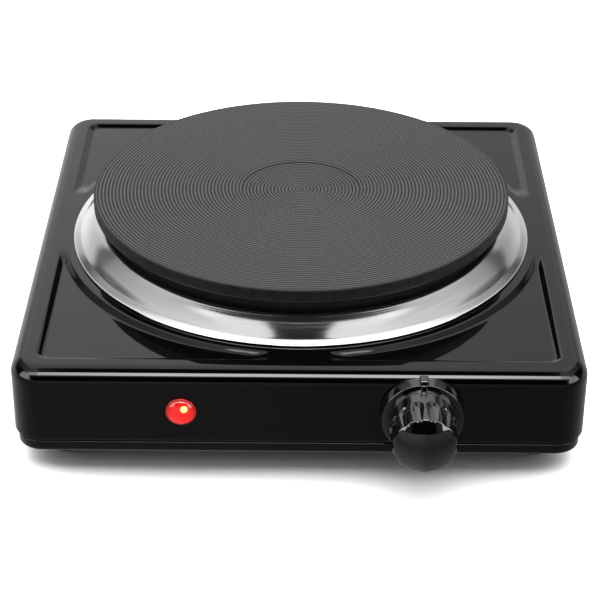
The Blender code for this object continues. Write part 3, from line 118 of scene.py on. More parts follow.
class BurnerSizes(bpy.types.PropertyGroup):
    """Sizes of the pressed, turned and moulded details."""

    sheet: length("Sheet", "Thickness of the pressed sheet", 1.0)
    body_corner: length("Body corner", "Radius of the upright corners", 12)
    edge_round: length("Edge round", "Radius between the top and the walls", 6.3)
    panel_margin: length("Panel margin", "Flat strip between panel and edge", 3.7)
    panel_corner: length("Panel corner", "Radius of a panel's outer corner", 5.0)
    panel_depth: length("Panel depth", "Depth of the pressed panels", 1.6)
    panel_wall: length("Panel wall", "Width of a panel's straight walls", 3.2)
    panel_land: length("Panel land", "Flat strip between ring and panel", 3.3)
    panel_arc_wall: length("Arc wall", "Width of the wall along the ring", 4.3)
    panel_end_gap: length("Panel end gap", "Space between two panels' ends", 19)
    rear_tip: length("Rear tip", "Rear panels' tip from the plate's axis", 31.5)
    front_tip: length("Front tip", "Front panels' tip from the plate's axis", 20.5)
    opening_radius: length("Opening", "Radius of the plate opening", 81.8)
    collar_drop: length("Collar drop", "Depth of the opening's turned edge", 5.0)
    tray_ledge: length("Tray ledge", "Height of the tray's ledge over its underside", 4.7)
    tray_round: length("Tray round", "Radius under the tray's edge", 1.2)
    vent_width: length("Vent width", "Width of a vent slot", 3.0)
    vent_length: length("Vent length", "Length of a vent slot", 34)
    vent_pitch: length("Vent pitch", "Distance between vent slots", 8)
    plate_rim: length("Plate rim", "Height of the plate's edge", 5.3)
    plate_edge: length("Plate edge", "Rounding of the plate's edge", 0.6)
    recess_radius: length("Recess", "Radius of the plate's centre recess", 27.3)
    recess_depth: length("Recess depth", "Depth of the centre recess", 0.8)
    groove_pitch: length("Groove pitch", "Distance between turned grooves", 1.57)
    ring_inner: length("Ring inner", "Inner radius of the trim ring", 88.6)
    skirt_depth: length("Skirt depth", "Depth of the knob's skirt", 4.6)
    cap_radius: length("Cap radius", "Radius where the knob's dome ends", 12.3)
    cap_bulge: length("Cap bulge", "Radius of curvature of the dome", 24)
    cap_round: length("Cap round", "Rounding between dome and grip", 0.9)
    rib_radius: length("Rib radius", "Radius of the grip at the skirt", 14.3)
    scoop_depth: length("Scoop depth", "Depth of the grip's scoops", 2.1)
    scoop_start: length("Scoop start", "Where the scoops reach full width", 10.0)
    flutes: IntProperty(name="Flutes", description="Scoops round the grip", default=14, min=6)


class BurnerColours(bpy.types.PropertyGroup):
    """Colours of the finishes."""

    enamel: colour("Enamel", "Gloss enamel of the housing", (0.0007, 0.0007, 0.0008))
    iron: colour("Cast iron", "Coated cast iron of the plate", (0.02, 0.02, 0.0206))
    steel: colour("Ring steel", "Polished steel of the ring", (0.9, 0.9, 0.895))
    knob: colour("Knob", "Gloss plastic of the knob", (0.001, 0.001, 0.001))
    lens: colour("Lens", "Coloured plastic of the lens", (0.6, 0.008, 0.006))
    glow: colour("Glow", "Light of the lamp behind the lens", (0.75, 0.012, 0.01))
    floor: colour("Floor", "Studio floor", (0.78, 0.78, 0.78))


def values(context):
    return context.scene.burner_sizes, context.scene.burner_colours


# ---- mesh helpers ----


def arc(centre, radius, start, end, steps):
    """Points on an arc in a plane, angles in radians."""
    return [
        (
            centre[0] + radius * math.cos(start + (end - start) * i / steps),
            centre[1] + radius * math.sin(start + (end - start) * i / steps),
        )
        for i in range(steps + 1)
    ]


def soften(points, radius, steps=4, closed=False):
    """The polyline with its corners rounded by up to the radius."""
    points = [Vector(point) for point in points]
    count = len(points)
    result = []
    for i, here in enumerate(points):
        if not closed and i in (0, count - 1):
            result.append(here)
            continue
        before, after = points[i - 1], points[(i + 1) % count]
        reach = min(radius, (here - before).length * 0.45, (after - here).length * 0.45)
        enter = here + (before - here).normalized() * reach
        leave = here + (after - here).normalized() * reach
        for k in range(steps + 1):
            t = k / steps
            result.append(enter * (1 - t) ** 2 + here * 2 * t * (1 - t) + leave * t**2)
    return [tuple(point) for point in result]


def new_shape():
    """An empty bmesh whose vertices remember their place along a loop."""
    shape = bmesh.new()
    shape.verts.layers.int.new("order")
    return shape


def add_loop(shape, points, height):
    """A closed loop of edges through plan points, all at one height."""
    order = shape.verts.layers.int["order"]
    verts = [shape.verts.new((x, y, height)) for x, y in points]
    for i, vert in enumerate(verts):
        vert[order] = i
    return [shape.edges.new(pair) for pair in zip(verts, verts[1:] + verts[:1])]


def skin(shape, rows):
    """Extrudes a closed loop through rows of plan points and heights. Gives its end loops."""
    order = shape.verts.layers.int["order"]
    first = edges = add_loop(shape, *rows[0])
    for points, height in rows[1:]:
        made = bmesh.ops.extrude_edge_only(shape, edges=edges)["geom"]
        for vert in (item for item in made if isinstance(item, bmesh.types.BMVert)):
            vert.co = (*points[vert[order]], height)
        edges = [item for item in made if isinstance(item, bmesh.types.BMEdge)]
        edges = [edge for edge in edges if edge.is_boundary]
    return first, edges


def fill(shape, edges, normal):
    bmesh.ops.triangle_fill(shape, edges=edges, use_beauty=True, normal=normal)


def turned(profile, steps, closed=False):
    """A (radius, height) profile spun round Z. An open one starts and ends on the axis."""
    shape = bmesh.new()
    verts = [shape.verts.new((radius, 0, height)) for radius, height in profile]
    pairs = list(zip(verts, verts[1:]))
    if closed:
        pairs.append((verts[-1], verts[0]))
    edges = [shape.edges.new(pair) for pair in pairs]
    about = {"cent": (0, 0, 0), "axis": (0, 0, 1), "angle": math.tau}
    bmesh.ops.spin(shape, geom=verts + edges, steps=steps, use_merge=True, **about)
    bmesh.ops.remove_doubles(shape, verts=shape.verts, dist=1e-6)
    return shape


def forward(place):
    """Turns a shape made round Z so that its +Z points to the front, at a place."""
    return Matrix.Translation(place) @ Matrix.Rotation(math.pi / 2, 4, "X")


def move(shape, matrix):
    bmesh.ops.transform(shape, matrix=matrix, verts=shape.verts)
    return shape


def turn_out(shape, upward):
    """Turns an open skin so that its highest face looks up, or its lowest face down."""
    end = max(shape.faces, key=lambda face: face.calc_center_median().z * upward)
    if end.normal.z * upward < 0:
        bmesh.ops.reverse_faces(shape, faces=shape.faces)


def piece(name, shape, finish, body=ROOT_BODY, stands_for=(), angle=35, sheet=0):
    """Makes the finished bmesh an object that rides on a body and stands for CAD nodes.

    sheet is 0 for a closed shape, or else the way (1 up, -1 down) that an open skin looks.
    """
    bmesh.ops.remove_doubles(shape, verts=shape.verts, dist=1e-7)
    bmesh.ops.recalc_face_normals(shape, faces=shape.faces)
    if sheet:
        angle = SHEET_ANGLE
        turn_out(shape, sheet)
    for face in shape.faces:
        face.smooth = True
    for edge in shape.edges:
        edge.smooth = edge.is_manifold and edge.calc_face_angle() < math.radians(angle)
    mesh = bpy.data.meshes.new(name)
    shape.to_mesh(mesh)
    shape.free()
    mesh.materials.append(finish)
    made = bpy.data.objects.new(name, mesh)
    bpy.context.scene.collection.objects.link(made)
    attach(made, body)
    if stands_for:
        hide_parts(*stands_for)
    return made


def thicken(made, thickness):
    """Gives a skin its sheet thickness, inwards."""
    modifier = made.modifiers.new("sheet", "SOLIDIFY")
    modifier.thickness = thickness
    modifier.offset = -1


# ---- node helpers and shared effects ----

NOISE_RANGE = (0.3, 0.7)
ROUND_Z = (1, 1, 0)
ROUND_Y = (1, 0, 1)


def feed(tree, made, inputs):
    """Sets a node's inputs, each to a value or to a link from another node's socket."""
    for key, value in inputs.items():
        if isinstance(value, bpy.types.NodeSocket):
            tree.links.new(value, made.inputs[key])
        else:
            made.inputs[key].default_value = value
    return made


def node(tree, kind, inputs=None, **settings):
    """A shader node with its settings and its inputs."""
    made = tree.nodes.new("ShaderNode" + kind)
    for key, value in settings.items():
        setattr(made, key, value)
    return feed(tree, made, inputs or {})


def math_node(tree, operation, first, second=0.0):
    return node(tree, "Math", {0: first, 1: second}, operation=operation).outputs[0]


def product(tree, first, *others):
    for other in others:
        first = math_node(tree, "MULTIPLY", first, other)
    return first


def inverse(tree, mask):
    return math_node(tree, "SUBTRACT", 1.0, mask)


def span(tree, value, low, high, to_low=0.0, to_high=1.0, smooth=False):
    """The value carried from one range to another and held at its ends."""
    inputs = {"Value": value, "From Min": low, "From Max": high}
    inputs |= {"To Min": to_low, "To Max": to_high}
    kind = "SMOOTHSTEP" if smooth else "LINEAR"
    return node(tree, "MapRange", inputs, interpolation_type=kind).outputs["Result"]


def scaled(shade, factor):
    return tuple(value * factor for value in shade)


def blend_colours(tree, factor, first, second):
    inputs = {0: factor}
    for place, value in ((6, first), (7, second)):
        inputs[place] = value if isinstance(value, bpy.types.NodeSocket) else (*value, 1.0)
    return node(tree, "Mix", inputs, data_type="RGBA").outputs[2]


def distance(tree, place, kept):
    """Distance from the origin, counting only the axes that are kept."""
    flat = node(tree, "VectorMath", {0: place, 1: kept}, operation="MULTIPLY").outputs[0]
    return node(tree, "VectorMath", {0: flat}, operation="LENGTH").outputs["Value"]


def new_group(name, values, outputs):
    """A node group with a position, its values and its outputs, and its two end nodes."""
    tree = bpy.data.node_groups.new(name, "ShaderNodeTree")
    tree.interface.new_socket("Position", in_out="INPUT", socket_type="NodeSocketVector")
    for label, default in values.items():
        socket = tree.interface.new_socket(label, in_out="INPUT", socket_type="NodeSocketFloat")
        socket.default_value = default
    for label in outputs:
        tree.interface.new_socket(label, in_out="OUTPUT", socket_type="NodeSocketFloat")
    return tree, tree.nodes.new("NodeGroupInput").outputs, tree.nodes.new("NodeGroupOutput")


def grain_group():
    """Cloudy variation of a given size, between two values."""
    values = {"Size": 0.002, "Low": 0.0, "High": 1.0}
    tree, start, end = new_group("Surface Grain", values, ["Value"])
    scale = math_node(tree, "DIVIDE", 1.0, start["Size"])
    noise = node(tree, "TexNoise", {"Vector": start["Position"], "Scale": scale, "Detail": 4.0})
    result = span(tree, noise.outputs[0], *NOISE_RANGE, start["Low"], start["High"])
    feed(tree, end, {"Value": result})
    return tree


def rings_group():
    """Height of turned grooves round the Z axis, with slight wander."""
    values = {"Pitch": 0.0015, "Wander": 0.05}
    tree, start, end = new_group("Turned Rings", values, ["Height", "Radius"])
    place = start["Position"]
    radius = distance(tree, place, ROUND_Z)
    turns = math_node(tree, "DIVIDE", radius, start["Pitch"])
    noise = node(tree, "TexNoise", {"Vector": place, "Scale": 60.0}).outputs[0]
    wander = product(tree, noise, start["Wander"])
    phase = product(tree, math_node(tree, "ADD", turns, wander), math.tau)
    wave = span(tree, math_node(tree, "SINE", phase), -1.0, 1.0)
    feed(tree, end, {"Height": wave, "Radius": radius})
    return tree


def polish_group():
    """Fine polishing lines that run round the Z axis."""
    tree, start, end = new_group("Polishing Lines", {"Fineness": 4000.0}, ["Value"])
    parts = node(tree, "SeparateXYZ", {0: start["Position"]}).outputs
    across = product(tree, distance(tree, start["Position"], ROUND_Z), start["Fineness"])
    down = product(tree, parts["Z"], start["Fineness"])
    along = product(tree, math_node(tree, "ARCTAN2", parts["Y"], parts["X"]), 6.0)
    lines = node(tree, "CombineXYZ", {0: across, 1: down, 2: along}).outputs[0]
    noise = node(tree, "TexNoise", {"Vector": lines, "Scale": 1.0, "Detail": 3.0})
    feed(tree, end, {"Value": span(tree, noise.outputs[0], *NOISE_RANGE)})
    return tree


def specks_group():
    """Scattered tiny specks, as of dust or pits, as a mask."""
    tree, start, end = new_group("Specks", {"Spacing": 0.004, "Share": 0.1}, ["Mask"])
    scale = math_node(tree, "DIVIDE", 1.0, start["Spacing"])
    cells = node(tree, "TexVoronoi", {"Vector": start["Position"], "Scale": scale})
    mask = span(tree, cells.outputs["Distance"], 0.0, start["Share"], 1.0, 0.0)
    feed(tree, end, {"Mask": mask})
    return tree


def use_group(tree, maker, label, inputs):
    """Places the shared group, built the first time it is asked for."""
    made = tree.nodes.new("ShaderNodeGroup")
    made.node_tree = bpy.data.node_groups.get(label) or maker()
    return feed(tree, made, inputs).outputs


def grain(tree, place, size, low, high):
    inputs = {"Position": place, "Size": size, "Low": low, "High": high}
    return use_group(tree, grain_group, "Surface Grain", inputs)["Value"]


def specks(tree, place, spacing, share):
    inputs = {"Position": place, "Spacing": spacing, "Share": share}
    return use_group(tree, specks_group, "Specks", inputs)["Mask"]


def new_material(name):
    """A material with its Principled shader and the object's coordinates."""
    made = bpy.data.materials.new(name)
    made.use_nodes = True
    tree = made.node_tree
    shader = tree.nodes["Principled BSDF"]
    place = tree.nodes.new("ShaderNodeTexCoord").outputs["Object"]
    return made, tree, shader, place


def centred(tree, place, centre):
    """Coordinates measured from a centre."""
    return node(tree, "Mapping", {"Vector": place, "Location": scaled(centre, -1)}).outputs[0]


def bump(tree, shader, height, distance):
    made = node(tree, "Bump", {"Height": height, "Distance": distance, "Strength": 1.0})
    feed(tree, shader, {"Normal": made.outputs["Normal"]})


def grained(name, shade, roughness, metallic=0.0, size=0.002, depth=0.00002):
    """A plain material with clouded colour, uneven roughness and a fine surface."""
    made, tree, shader, place = new_material(name)
    cloud = grain(tree, place, size * 4, 0.0, 1.0)
    cover = blend_colours(tree, cloud, scaled(shade, 0.75), shade)
    uneven = grain(tree, place, size, roughness * 0.8, min(roughness * 1.25, 1.0))
    feed(tree, shader, {"Base Color": cover, "Roughness": uneven, "Metallic": metallic})
    bump(tree, shader, grain(tree, place, size / 4, 0.0, 1.0), depth)
    return made


# ---- finishes ----

LAMP_OFFSET = Vector((1.4 * MM, 0, 2.4 * MM))
LAMP_HEART = (3.0, 2.4, 0.5)
# Colour, roughness, metallic, grain size and depth of the grained finishes.
TRAY_PAINT = ((0.0016, 0.0016, 0.0016), 0.12, 0.0, 0.0015, 0.000004)
FOOT_RUBBER = ((0.02, 0.02, 0.02), 0.75, 0.0, 0.001, 0.00004)
INNER_FINISHES = {
    "zinc_steel": ((0.55, 0.56, 0.57), 0.35, 1.0, 0.003),
    "element_sheath": ((0.12, 0.11, 0.1), 0.5, 1.0, 0.002),
    "steatite": ((0.78, 0.75, 0.68), 0.55, 0.0, 0.002),
    "aluminised_sheet": ((0.72, 0.73, 0.74), 0.3, 1.0, 0.004),
    "brass": ((0.75, 0.55, 0.25), 0.3, 1.0, 0.002),
    "bimetal": ((0.5, 0.45, 0.4), 0.35, 1.0, 0.002),
    "lamp_glass": ((0.9, 0.5, 0.35), 0.08, 0.0, 0.002),
    "black_plastic": ((0.015, 0.015, 0.015), 0.5, 0.0, 0.0015),
    "white_nylon": ((0.8, 0.8, 0.78), 0.45, 0.0, 0.0015),
    "fuse_sleeve": ((0.75, 0.72, 0.62), 0.75, 0.0, 0.0008),
}
INSULATION = {
    "brown": (0.16, 0.06, 0.02),
    "blue": (0.02, 0.08, 0.4),
    "black": (0.02, 0.02, 0.02),
    "green": (0.1, 0.4, 0.05),
}
for name, shade in INSULATION.items():
    INNER_FINISHES[f"{name}_insulation"] = (shade, 0.45, 0.0, 0.0015)

def enamel(colours):
    """Gloss enamel: near-black, a little uneven in gloss, with faint dust."""
    made, tree, shader, place = new_material("gloss_enamel")
    dust = specks(tree, place, 0.006, 0.05)
    dusty = tuple(value + 0.004 for value in colours.enamel)
    cover = blend_colours(tree, dust, colours.enamel, dusty)
    gloss = grain(tree, place, 0.03, 0.02, 0.045)
    feed(tree, shader, {"Base Color": cover, "Roughness": gloss})
    bump(tree, shader, grain(tree, place, 0.006, 0.0, 1.0), 0.000004)
    return made


def cast_iron(colours, sizes):
    """Coated cast iron: turned grooves on top, grain and pits all over. The grooves' colour carries
    painted shade in their bottoms and painted highlights on the lands between them.
    """
    made, tree, shader, place = new_material("grooved_cast_iron")
    inputs = {
        "Position": centred(tree, place, AXIS),
        "Pitch": sizes.groove_pitch,
        "Wander": 0.12,
    }
    rings = use_group(tree, rings_group, "Turned Rings", inputs)
    height = node(tree, "SeparateXYZ", {0: place}).outputs["Z"]
    on_top = span(tree, height, PLATE_HIGH.z - 1.4 * MM, PLATE_HIGH.z - 1.0 * MM)
    edge = span(tree, rings["Radius"], PLATE_RADIUS - 1.2 * MM, PLATE_RADIUS - 0.6 * MM)
    turned_zone = product(tree, on_top, inverse(tree, edge))
    groove = product(tree, rings["Height"], turned_zone)
    body = colours.iron
    dark = scaled(body, 0.04)
    # Painted shade and highlight: the grooves' colour runs from near black in their bottoms to
    # bright on the lands, in step with their bump.
    painted_groove_shading = blend_colours(tree, groove, dark, scaled(body, 1.95))
    cloud = grain(tree, place, 0.004, 0.0, 1.0)
    plain = blend_colours(tree, cloud, scaled(body, 0.25), scaled(body, 0.5))
    cover = blend_colours(tree, turned_zone, plain, painted_groove_shading)
    pits = specks(tree, place, 0.0016, 0.22)
    look = {
        "Base Color": blend_colours(tree, pits, cover, dark),
        "Roughness": grain(tree, place, 0.003, 0.42, 0.55),
        "Specular IOR Level": 0.12,
    }
    feed(tree, shader, look)
    fine = grain(tree, place, 0.0006, 0.0, 0.25)
    bump(tree, shader, math_node(tree, "ADD", groove, fine), 0.0003)
    return made


def ring_steel(colours):
    """Polished steel with fine polishing lines that run round the ring."""
    made, tree, shader, place = new_material("polished_ring_steel")
    inputs = {"Position": centred(tree, place, AXIS), "Fineness": 3500.0}
    lines = use_group(tree, polish_group, "Polishing Lines", inputs)["Value"]
    look = {
        "Base Color": blend_colours(tree, lines, scaled(colours.steel, 0.93), colours.steel),
        "Roughness": span(tree, lines, 0.0, 1.0, 0.07, 0.12),
        "Metallic": 1.0,
    }
    feed(tree, shader, look)
    bump(tree, shader, lines, 0.0000015)
    return made


def knob_plastic(colours):
    """Gloss moulded plastic, handled smooth, with faint dust."""
    made, tree, shader, place = new_material("gloss_knob_plastic")
    dust = specks(tree, place, 0.003, 0.06)
    dusty = tuple(value + 0.005 for value in colours.knob)
    look = {
        "Base Color": blend_colours(tree, dust, colours.knob, dusty),
        "Roughness": grain(tree, place, 0.012, 0.02, 0.05),
        "Specular IOR Level": 0.9,
        "Coat Weight": 0.8,
    }
    feed(tree, shader, look)
    bump(tree, shader, grain(tree, place, 0.004, 0.0, 1.0), 0.000004)
    return made


def lens_plastic(colours):
    """Lit translucent plastic: brightest over the lamp, deeper towards the rim."""
    made, tree, shader, place = new_material("lit_lens_plastic")
    radius = distance(tree, centred(tree, place, LENS_CENTRE), ROUND_Y)
    lamp = distance(tree, centred(tree, place, LENS_CENTRE + LAMP_OFFSET), ROUND_Y)
    edge = span(tree, radius, 3.5 * MM, 6.2 * MM, smooth=True)
    heart = span(tree, lamp, 0.8 * MM, 1.7 * MM, 1.0, 0.0, smooth=True)
    halo = span(tree, lamp, 1.2 * MM, 3.6 * MM, 1.0, 0.0, smooth=True)
    around = blend_colours(tree, halo, scaled(colours.glow, 0.28), scaled(colours.glow, 0.8))
    glow = blend_colours(tree, edge, around, scaled(colours.glow, 0.25))
    look = {
        "Base Color": blend_colours(tree, edge, colours.lens, scaled(colours.lens, 0.45)),
        "Emission Color": blend_colours(tree, heart, glow, LAMP_HEART),
        "Emission Strength": 1.0,
        "Coat Weight": 1.0,
        "Roughness": grain(tree, place, 0.003, 0.08, 0.14),
    }
    feed(tree, shader, look)
    bump(tree, shader, grain(tree, place, 0.002, 0.0, 1.0), 0.000006)
    return made


def shared(name, values):
    """The named grained material, made the first time it is asked for."""
    return bpy.data.materials.get(name) or grained(name, *values)


# ---- housing ----

SUPPORT = 0.6 * MM
CORNER_STEPS = 12
FILLET_STEPS = 12
PANEL_STEPS = 12
# Flat strip outside a panel's wall, as a share of the wall's width.
PANEL_OVERRUN = 0.15
# Setbacks of a panel's floor from its rim, in widths of its straight walls.
WALL_FOOT = 0.6
TIP_SETBACK = 4.3
END_SETBACK = 3.4
CORNER_SETBACK = 0.55
COLLAR_BEND = 1.5 * MM
BUSH_HOLE = 5.4 * MM
LENS_HOLE = 5.2 * MM
GROMMET_HOLE = 6.4 * MM
FOOT_HOLE = 2.3 * MM
EARTH_HOLE = 1.9 * MM
VENTS = 8
VENT_ROW = 42 * MM


def body_outline(half_x, half_y, corner):
    """A rectangle round the body's middle with round corners, held flat beside each corner."""
    points = []
    for turn, (side_x, side_y) in enumerate(((1, 1), (-1, 1), (-1, -1), (1, -1))):
        centre = (MIDDLE.x + side_x * (half_x - corner), MIDDLE.y + side_y * (half_y - corner))
        start = turn * math.pi / 2
        across, along = SUPPORT * math.cos(start), SUPPORT * math.sin(start)
        bend = arc(centre, corner, start, start + math.pi / 2, CORNER_STEPS)
        before = (bend[0][0] + along, bend[0][1] - across)
        after = (bend[-1][0] - across, bend[-1][1] - along)
        points += [before, *bend, after]
    return points


def panel_outline(sizes, side_x, side_y, floor):
    """Plan of a corner panel at the top of its wall, or of its floor. Both have equal counts."""
    edge = sizes.edge_round + sizes.panel_margin + (sizes.panel_wall if floor else 0)
    middle_y = MIDDLE.y - AXIS.y
    side = HALF_X - edge
    back = HALF_Y + side_y * middle_y - edge
    tip = sizes.rear_tip if side_y > 0 else sizes.front_tip
    end = sizes.panel_end_gap / 2
    corner = sizes.panel_corner
    inner = RING_OUTER + sizes.panel_land
    if floor:
        tip += TIP_SETBACK * sizes.panel_wall
        end += END_SETBACK * sizes.panel_wall
        corner -= CORNER_SETBACK * sizes.panel_wall

    def inner_point(turn):
        reach = inner
        if floor:
            least = sizes.panel_wall * WALL_FOOT
            reach += least + (sizes.panel_arc_wall - least) * math.sin(2 * turn) ** 2
        return Vector((reach * math.cos(turn), reach * math.sin(turn)))

    def turn_at(value, axis):
        low, high = 0.0, math.pi / 2
        for _ in range(40):
            half = (low + high) / 2
            beyond = inner_point(half)[axis] > value
            if beyond == (axis == 1):
                high = half
            else:
                low = half
        return low

    stop = turn_at(tip, 1)
    start = turn_at(end, 0)
    tip_half = (side - inner_point(stop).x) / 2
    end_half = (back - inner_point(start).y) / 2
    points = [(side, tip + tip_half + (back - corner - tip - tip_half) * i / 8) for i in range(8)]
    points += arc((side - corner, back - corner), corner, 0, math.pi / 2, 10)
    points += [
        (side - corner + (end + end_half - side + corner) * i / 8, back) for i in range(1, 8)
    ]
    points += arc((end + end_half, back - end_half), end_half, math.pi / 2, math.pi * 1.5, 10)
    first, last = turn_at(end + end_half, 0), turn_at(tip + tip_half, 1)
    points += [tuple(inner_point(first + (last - first) * i / 30)) for i in range(1, 30)]
    points += arc((side - tip_half, tip + tip_half), tip_half, math.pi, math.tau, 10)[:-1]
    outline = [(AXIS.x + side_x * x, AXIS.y + side_y * y) for x, y in points]
    return outline if side_x * side_y > 0 else outline[::-1]


def add_panel(shape, sizes, side_x, side_y):
    """The panel's S-shaped wall and its floor. Gives the loop that the flat top meets."""
    rim = panel_outline(sizes, side_x, side_y, False)
    floor = panel_outline(sizes, side_x, side_y, True)
    bends = [math.pi * i / PANEL_STEPS for i in range(PANEL_STEPS + 1)]
    shares = [-PANEL_OVERRUN, *(bend / math.pi for bend in bends), 1 + PANEL_OVERRUN]
    drops = [sizes.panel_depth * (1 - math.cos(bend)) / 2 for bend in bends]
    rows = []
    for share, drop in zip(shares, [0.0, *drops, sizes.panel_depth]):
        points = [
            (a[0] + (b[0] - a[0]) * share, a[1] + (b[1] - a[1]) * share)
            for a, b in zip(rim, floor)
        ]
        rows.append((points, TOP - drop))
    outer, inner = skin(shape, rows)
    fill(shape, inner, (0, 0, 1))
    return outer


def refill_wall(shape, sign, holes):
    """Replaces the flat face of the front or rear wall by one with round holes."""
    upright = [face for face in shape.faces if abs(face.normal.y) > 0.999]
    half = [face for face in upright if (face.calc_center_median().y - MIDDLE.y) * sign > 0]
    wall = max(half, key=lambda face: face.calc_area())
    rim = list(wall.edges)
    y = wall.calc_center_median().y
    bmesh.ops.delete(shape, geom=[wall], context="FACES_ONLY")
    circles = []
    for x, z, radius in holes:
        place = Matrix.Translation((x, y, z)) @ Matrix.Rotation(math.pi / 2, 4, "X")
        made = bmesh.ops.create_circle(shape, segments=32, radius=radius, matrix=place)
        circles += list({edge for vert in made["verts"] for edge in vert.link_edges})
    fill(shape, rim + circles, (0, sign, 0))


def housing_shape(sizes):
    """The pressed shell as one skin: walls, rounded edges, pressed panels and collar."""
    shape = new_shape()
    low, radius = SHELL_LOW.z, sizes.edge_round
    levels = [(0.8 * MM, low), (0.3 * MM, low), (0.09 * MM, low + 0.09 * MM)]
    levels += [(0.0, low + 0.3 * MM), (0.0, low + SUPPORT), (0.0, TOP - radius - SUPPORT)]
    levels += arc((radius, TOP - radius), radius, math.pi, math.pi / 2, FILLET_STEPS)
    levels.append((radius + SUPPORT, TOP))
    rows = []
    for shrink, height in levels:
        corner = sizes.body_corner - min(shrink, radius)
        rows.append((body_outline(HALF_X - shrink, HALF_Y - shrink, corner), height))
    edges = list(skin(shape, rows)[1])
    for side_x in (-1, 1):
        for side_y in (-1, 1):
            edges += add_panel(shape, sizes, side_x, side_y)
    bend = COLLAR_BEND
    collar = [(sizes.opening_radius + bend + SUPPORT, TOP)]
    collar += arc((sizes.opening_radius + bend, TOP - bend), bend, math.pi / 2, math.pi, 6)
    collar.append((sizes.opening_radius, TOP - sizes.collar_drop))
    rounds = [(arc(AXIS.xy, reach, 0, math.tau, 96)[:-1], height) for reach, height in collar]
    edges += skin(shape, rounds)[0]
    fill(shape, edges, (0, 0, 1))
    bush = (KNOB_CENTRE.x, KNOB_CENTRE.z, BUSH_HOLE)
    lamp = (LENS_CENTRE.x, LENS_CENTRE.z, LENS_HOLE)
    refill_wall(shape, -1, [bush, lamp])
    refill_wall(shape, 1, [(GROMMET_CENTRE.x, GROMMET_CENTRE.z, GROMMET_HOLE)])
    return shape


class BURNER_OT_housing(bpy.types.Operator):
    """Build the enamelled housing with its pressed corner panels"""

    bl_idname = "burner.housing"
    bl_label = "Housing"

    def execute(self, context):
        sizes, colours = values(context)
        finish = enamel(colours)
        cad, name = ("top_housing",), "housing_shell"
        made = piece(name, housing_shape(sizes), finish, stands_for=cad, sheet=1)
        thicken(made, sizes.sheet)
        return {"FINISHED"}


def slot_outline(x, y, sizes):
    """A vent slot with round ends."""
    half = sizes.vent_width / 2
    reach = sizes.vent_length / 2 - half
    upper = arc((x, y + reach), half, 0, math.pi, 6)
    return upper + arc((x, y - reach), half, math.pi, math.tau, 6)


class BURNER_OT_tray(bpy.types.Operator):
    """Build the base tray with its rounded edge, vents and holes"""

    bl_idname = "burner.tray"
    bl_label = "Base tray"

    def execute(self, context):
        sizes = context.scene.burner_sizes
        shape = new_shape()
        inset = HALF_X - (TRAY_HIGH.x - TRAY_LOW.x) / 2
        half_x, half_y = HALF_X - inset, HALF_Y - inset
        corner, radius = sizes.body_corner - inset, sizes.tray_round
        ledge, step = TRAY_LOW.z + sizes.tray_ledge, 1.0 * MM
        levels = [(step, TRAY_HIGH.z), (step, ledge + 0.3 * MM), (step - 0.1 * MM, ledge)]
        levels += [(0.25 * MM, ledge), (0.07 * MM, ledge - 0.07 * MM), (0.0, ledge - 0.25 * MM)]
        levels += [(0.0, ledge - SUPPORT), (0.0, TRAY_LOW.z + radius)]
        levels += arc((radius, TRAY_LOW.z + radius), radius, math.pi, math.pi * 1.5, 6)[1:]
        levels.append((radius + SUPPORT, TRAY_LOW.z))
        rows = []
        for shrink, height in levels:
            bend = corner - min(shrink, radius)
            rows.append((body_outline(half_x - shrink, half_y - shrink, bend), height))
        edges = list(skin(shape, rows)[1])
        for side in (-1, 1):
            for i in range(VENTS):
                x = (i - (VENTS - 1) / 2) * sizes.vent_pitch
                outline = slot_outline(MIDDLE.x + x, MIDDLE.y + side * VENT_ROW, sizes)
                edges += add_loop(shape, outline, TRAY_LOW.z)
        holes = [(name, FOOT_HOLE, 16) for name in FEET] + [("earth_screw", EARTH_HOLE, 12)]
        for name, reach, steps in holes:
            low, high = box_of(name)
            hole = arc(((low + high) / 2).xy, reach, 0, math.tau, steps)[:-1]
            edges += add_loop(shape, hole, TRAY_LOW.z)
        fill(shape, edges, (0, 0, -1))
        finish = grained("satin_tray_paint", *TRAY_PAINT)
        cad = ("base_tray",)
        made = piece("base_pan", shape, finish, stands_for=cad, sheet=-1)
        thicken(made, sizes.sheet)
        return {"FINISHED"}


class BURNER_OT_feet(bpy.types.Operator):
    """Build the four rubber feet with their rounded pads and ribs"""

    bl_idname = "burner.feet"
    bl_label = "Feet"

    def execute(self, context):
        finish = shared("foot_rubber_finish", FOOT_RUBBER)
        for name in FEET:
            low, high = box_of(name)
            centre, radius, height = (low + high) / 2, (high.x - low.x) / 2, high.z
            profile = soften(
                [
                    (4.4 * MM, 0), (radius - 1.0 * MM, 0), (radius, 1.0 * MM),
                    (radius, height * 0.45), (radius - 0.5 * MM, height * 0.5),
                    (radius - 0.5 * MM, height * 0.62), (radius, height * 0.67), (radius, height),
                    (FOOT_HOLE, height), (FOOT_HOLE, 4.1 * MM), (4.4 * MM, 4.1 * MM),
                ],
                0.5 * MM,
                3,
                closed=True,
            )
            shape = turned(profile, 48, closed=True)
            move(shape, Matrix.Translation((centre.x, centre.y, 0)))
            piece(f"{name}_pad", shape, finish, stands_for=(name,))
        return {"FINISHED"}


# ---- ring and plate ----

PLATE_SKIRT = 86 * MM
PLATE_HOLLOW = 81 * MM
RING_THICKNESS = 0.8 * MM
# Slope in degrees at even steps of the radius, from the lip to the crest.
RING_SLOPES = (38, 37.5, 37, 35, 32, 29.5, 28, 28, 30, 34, 38)


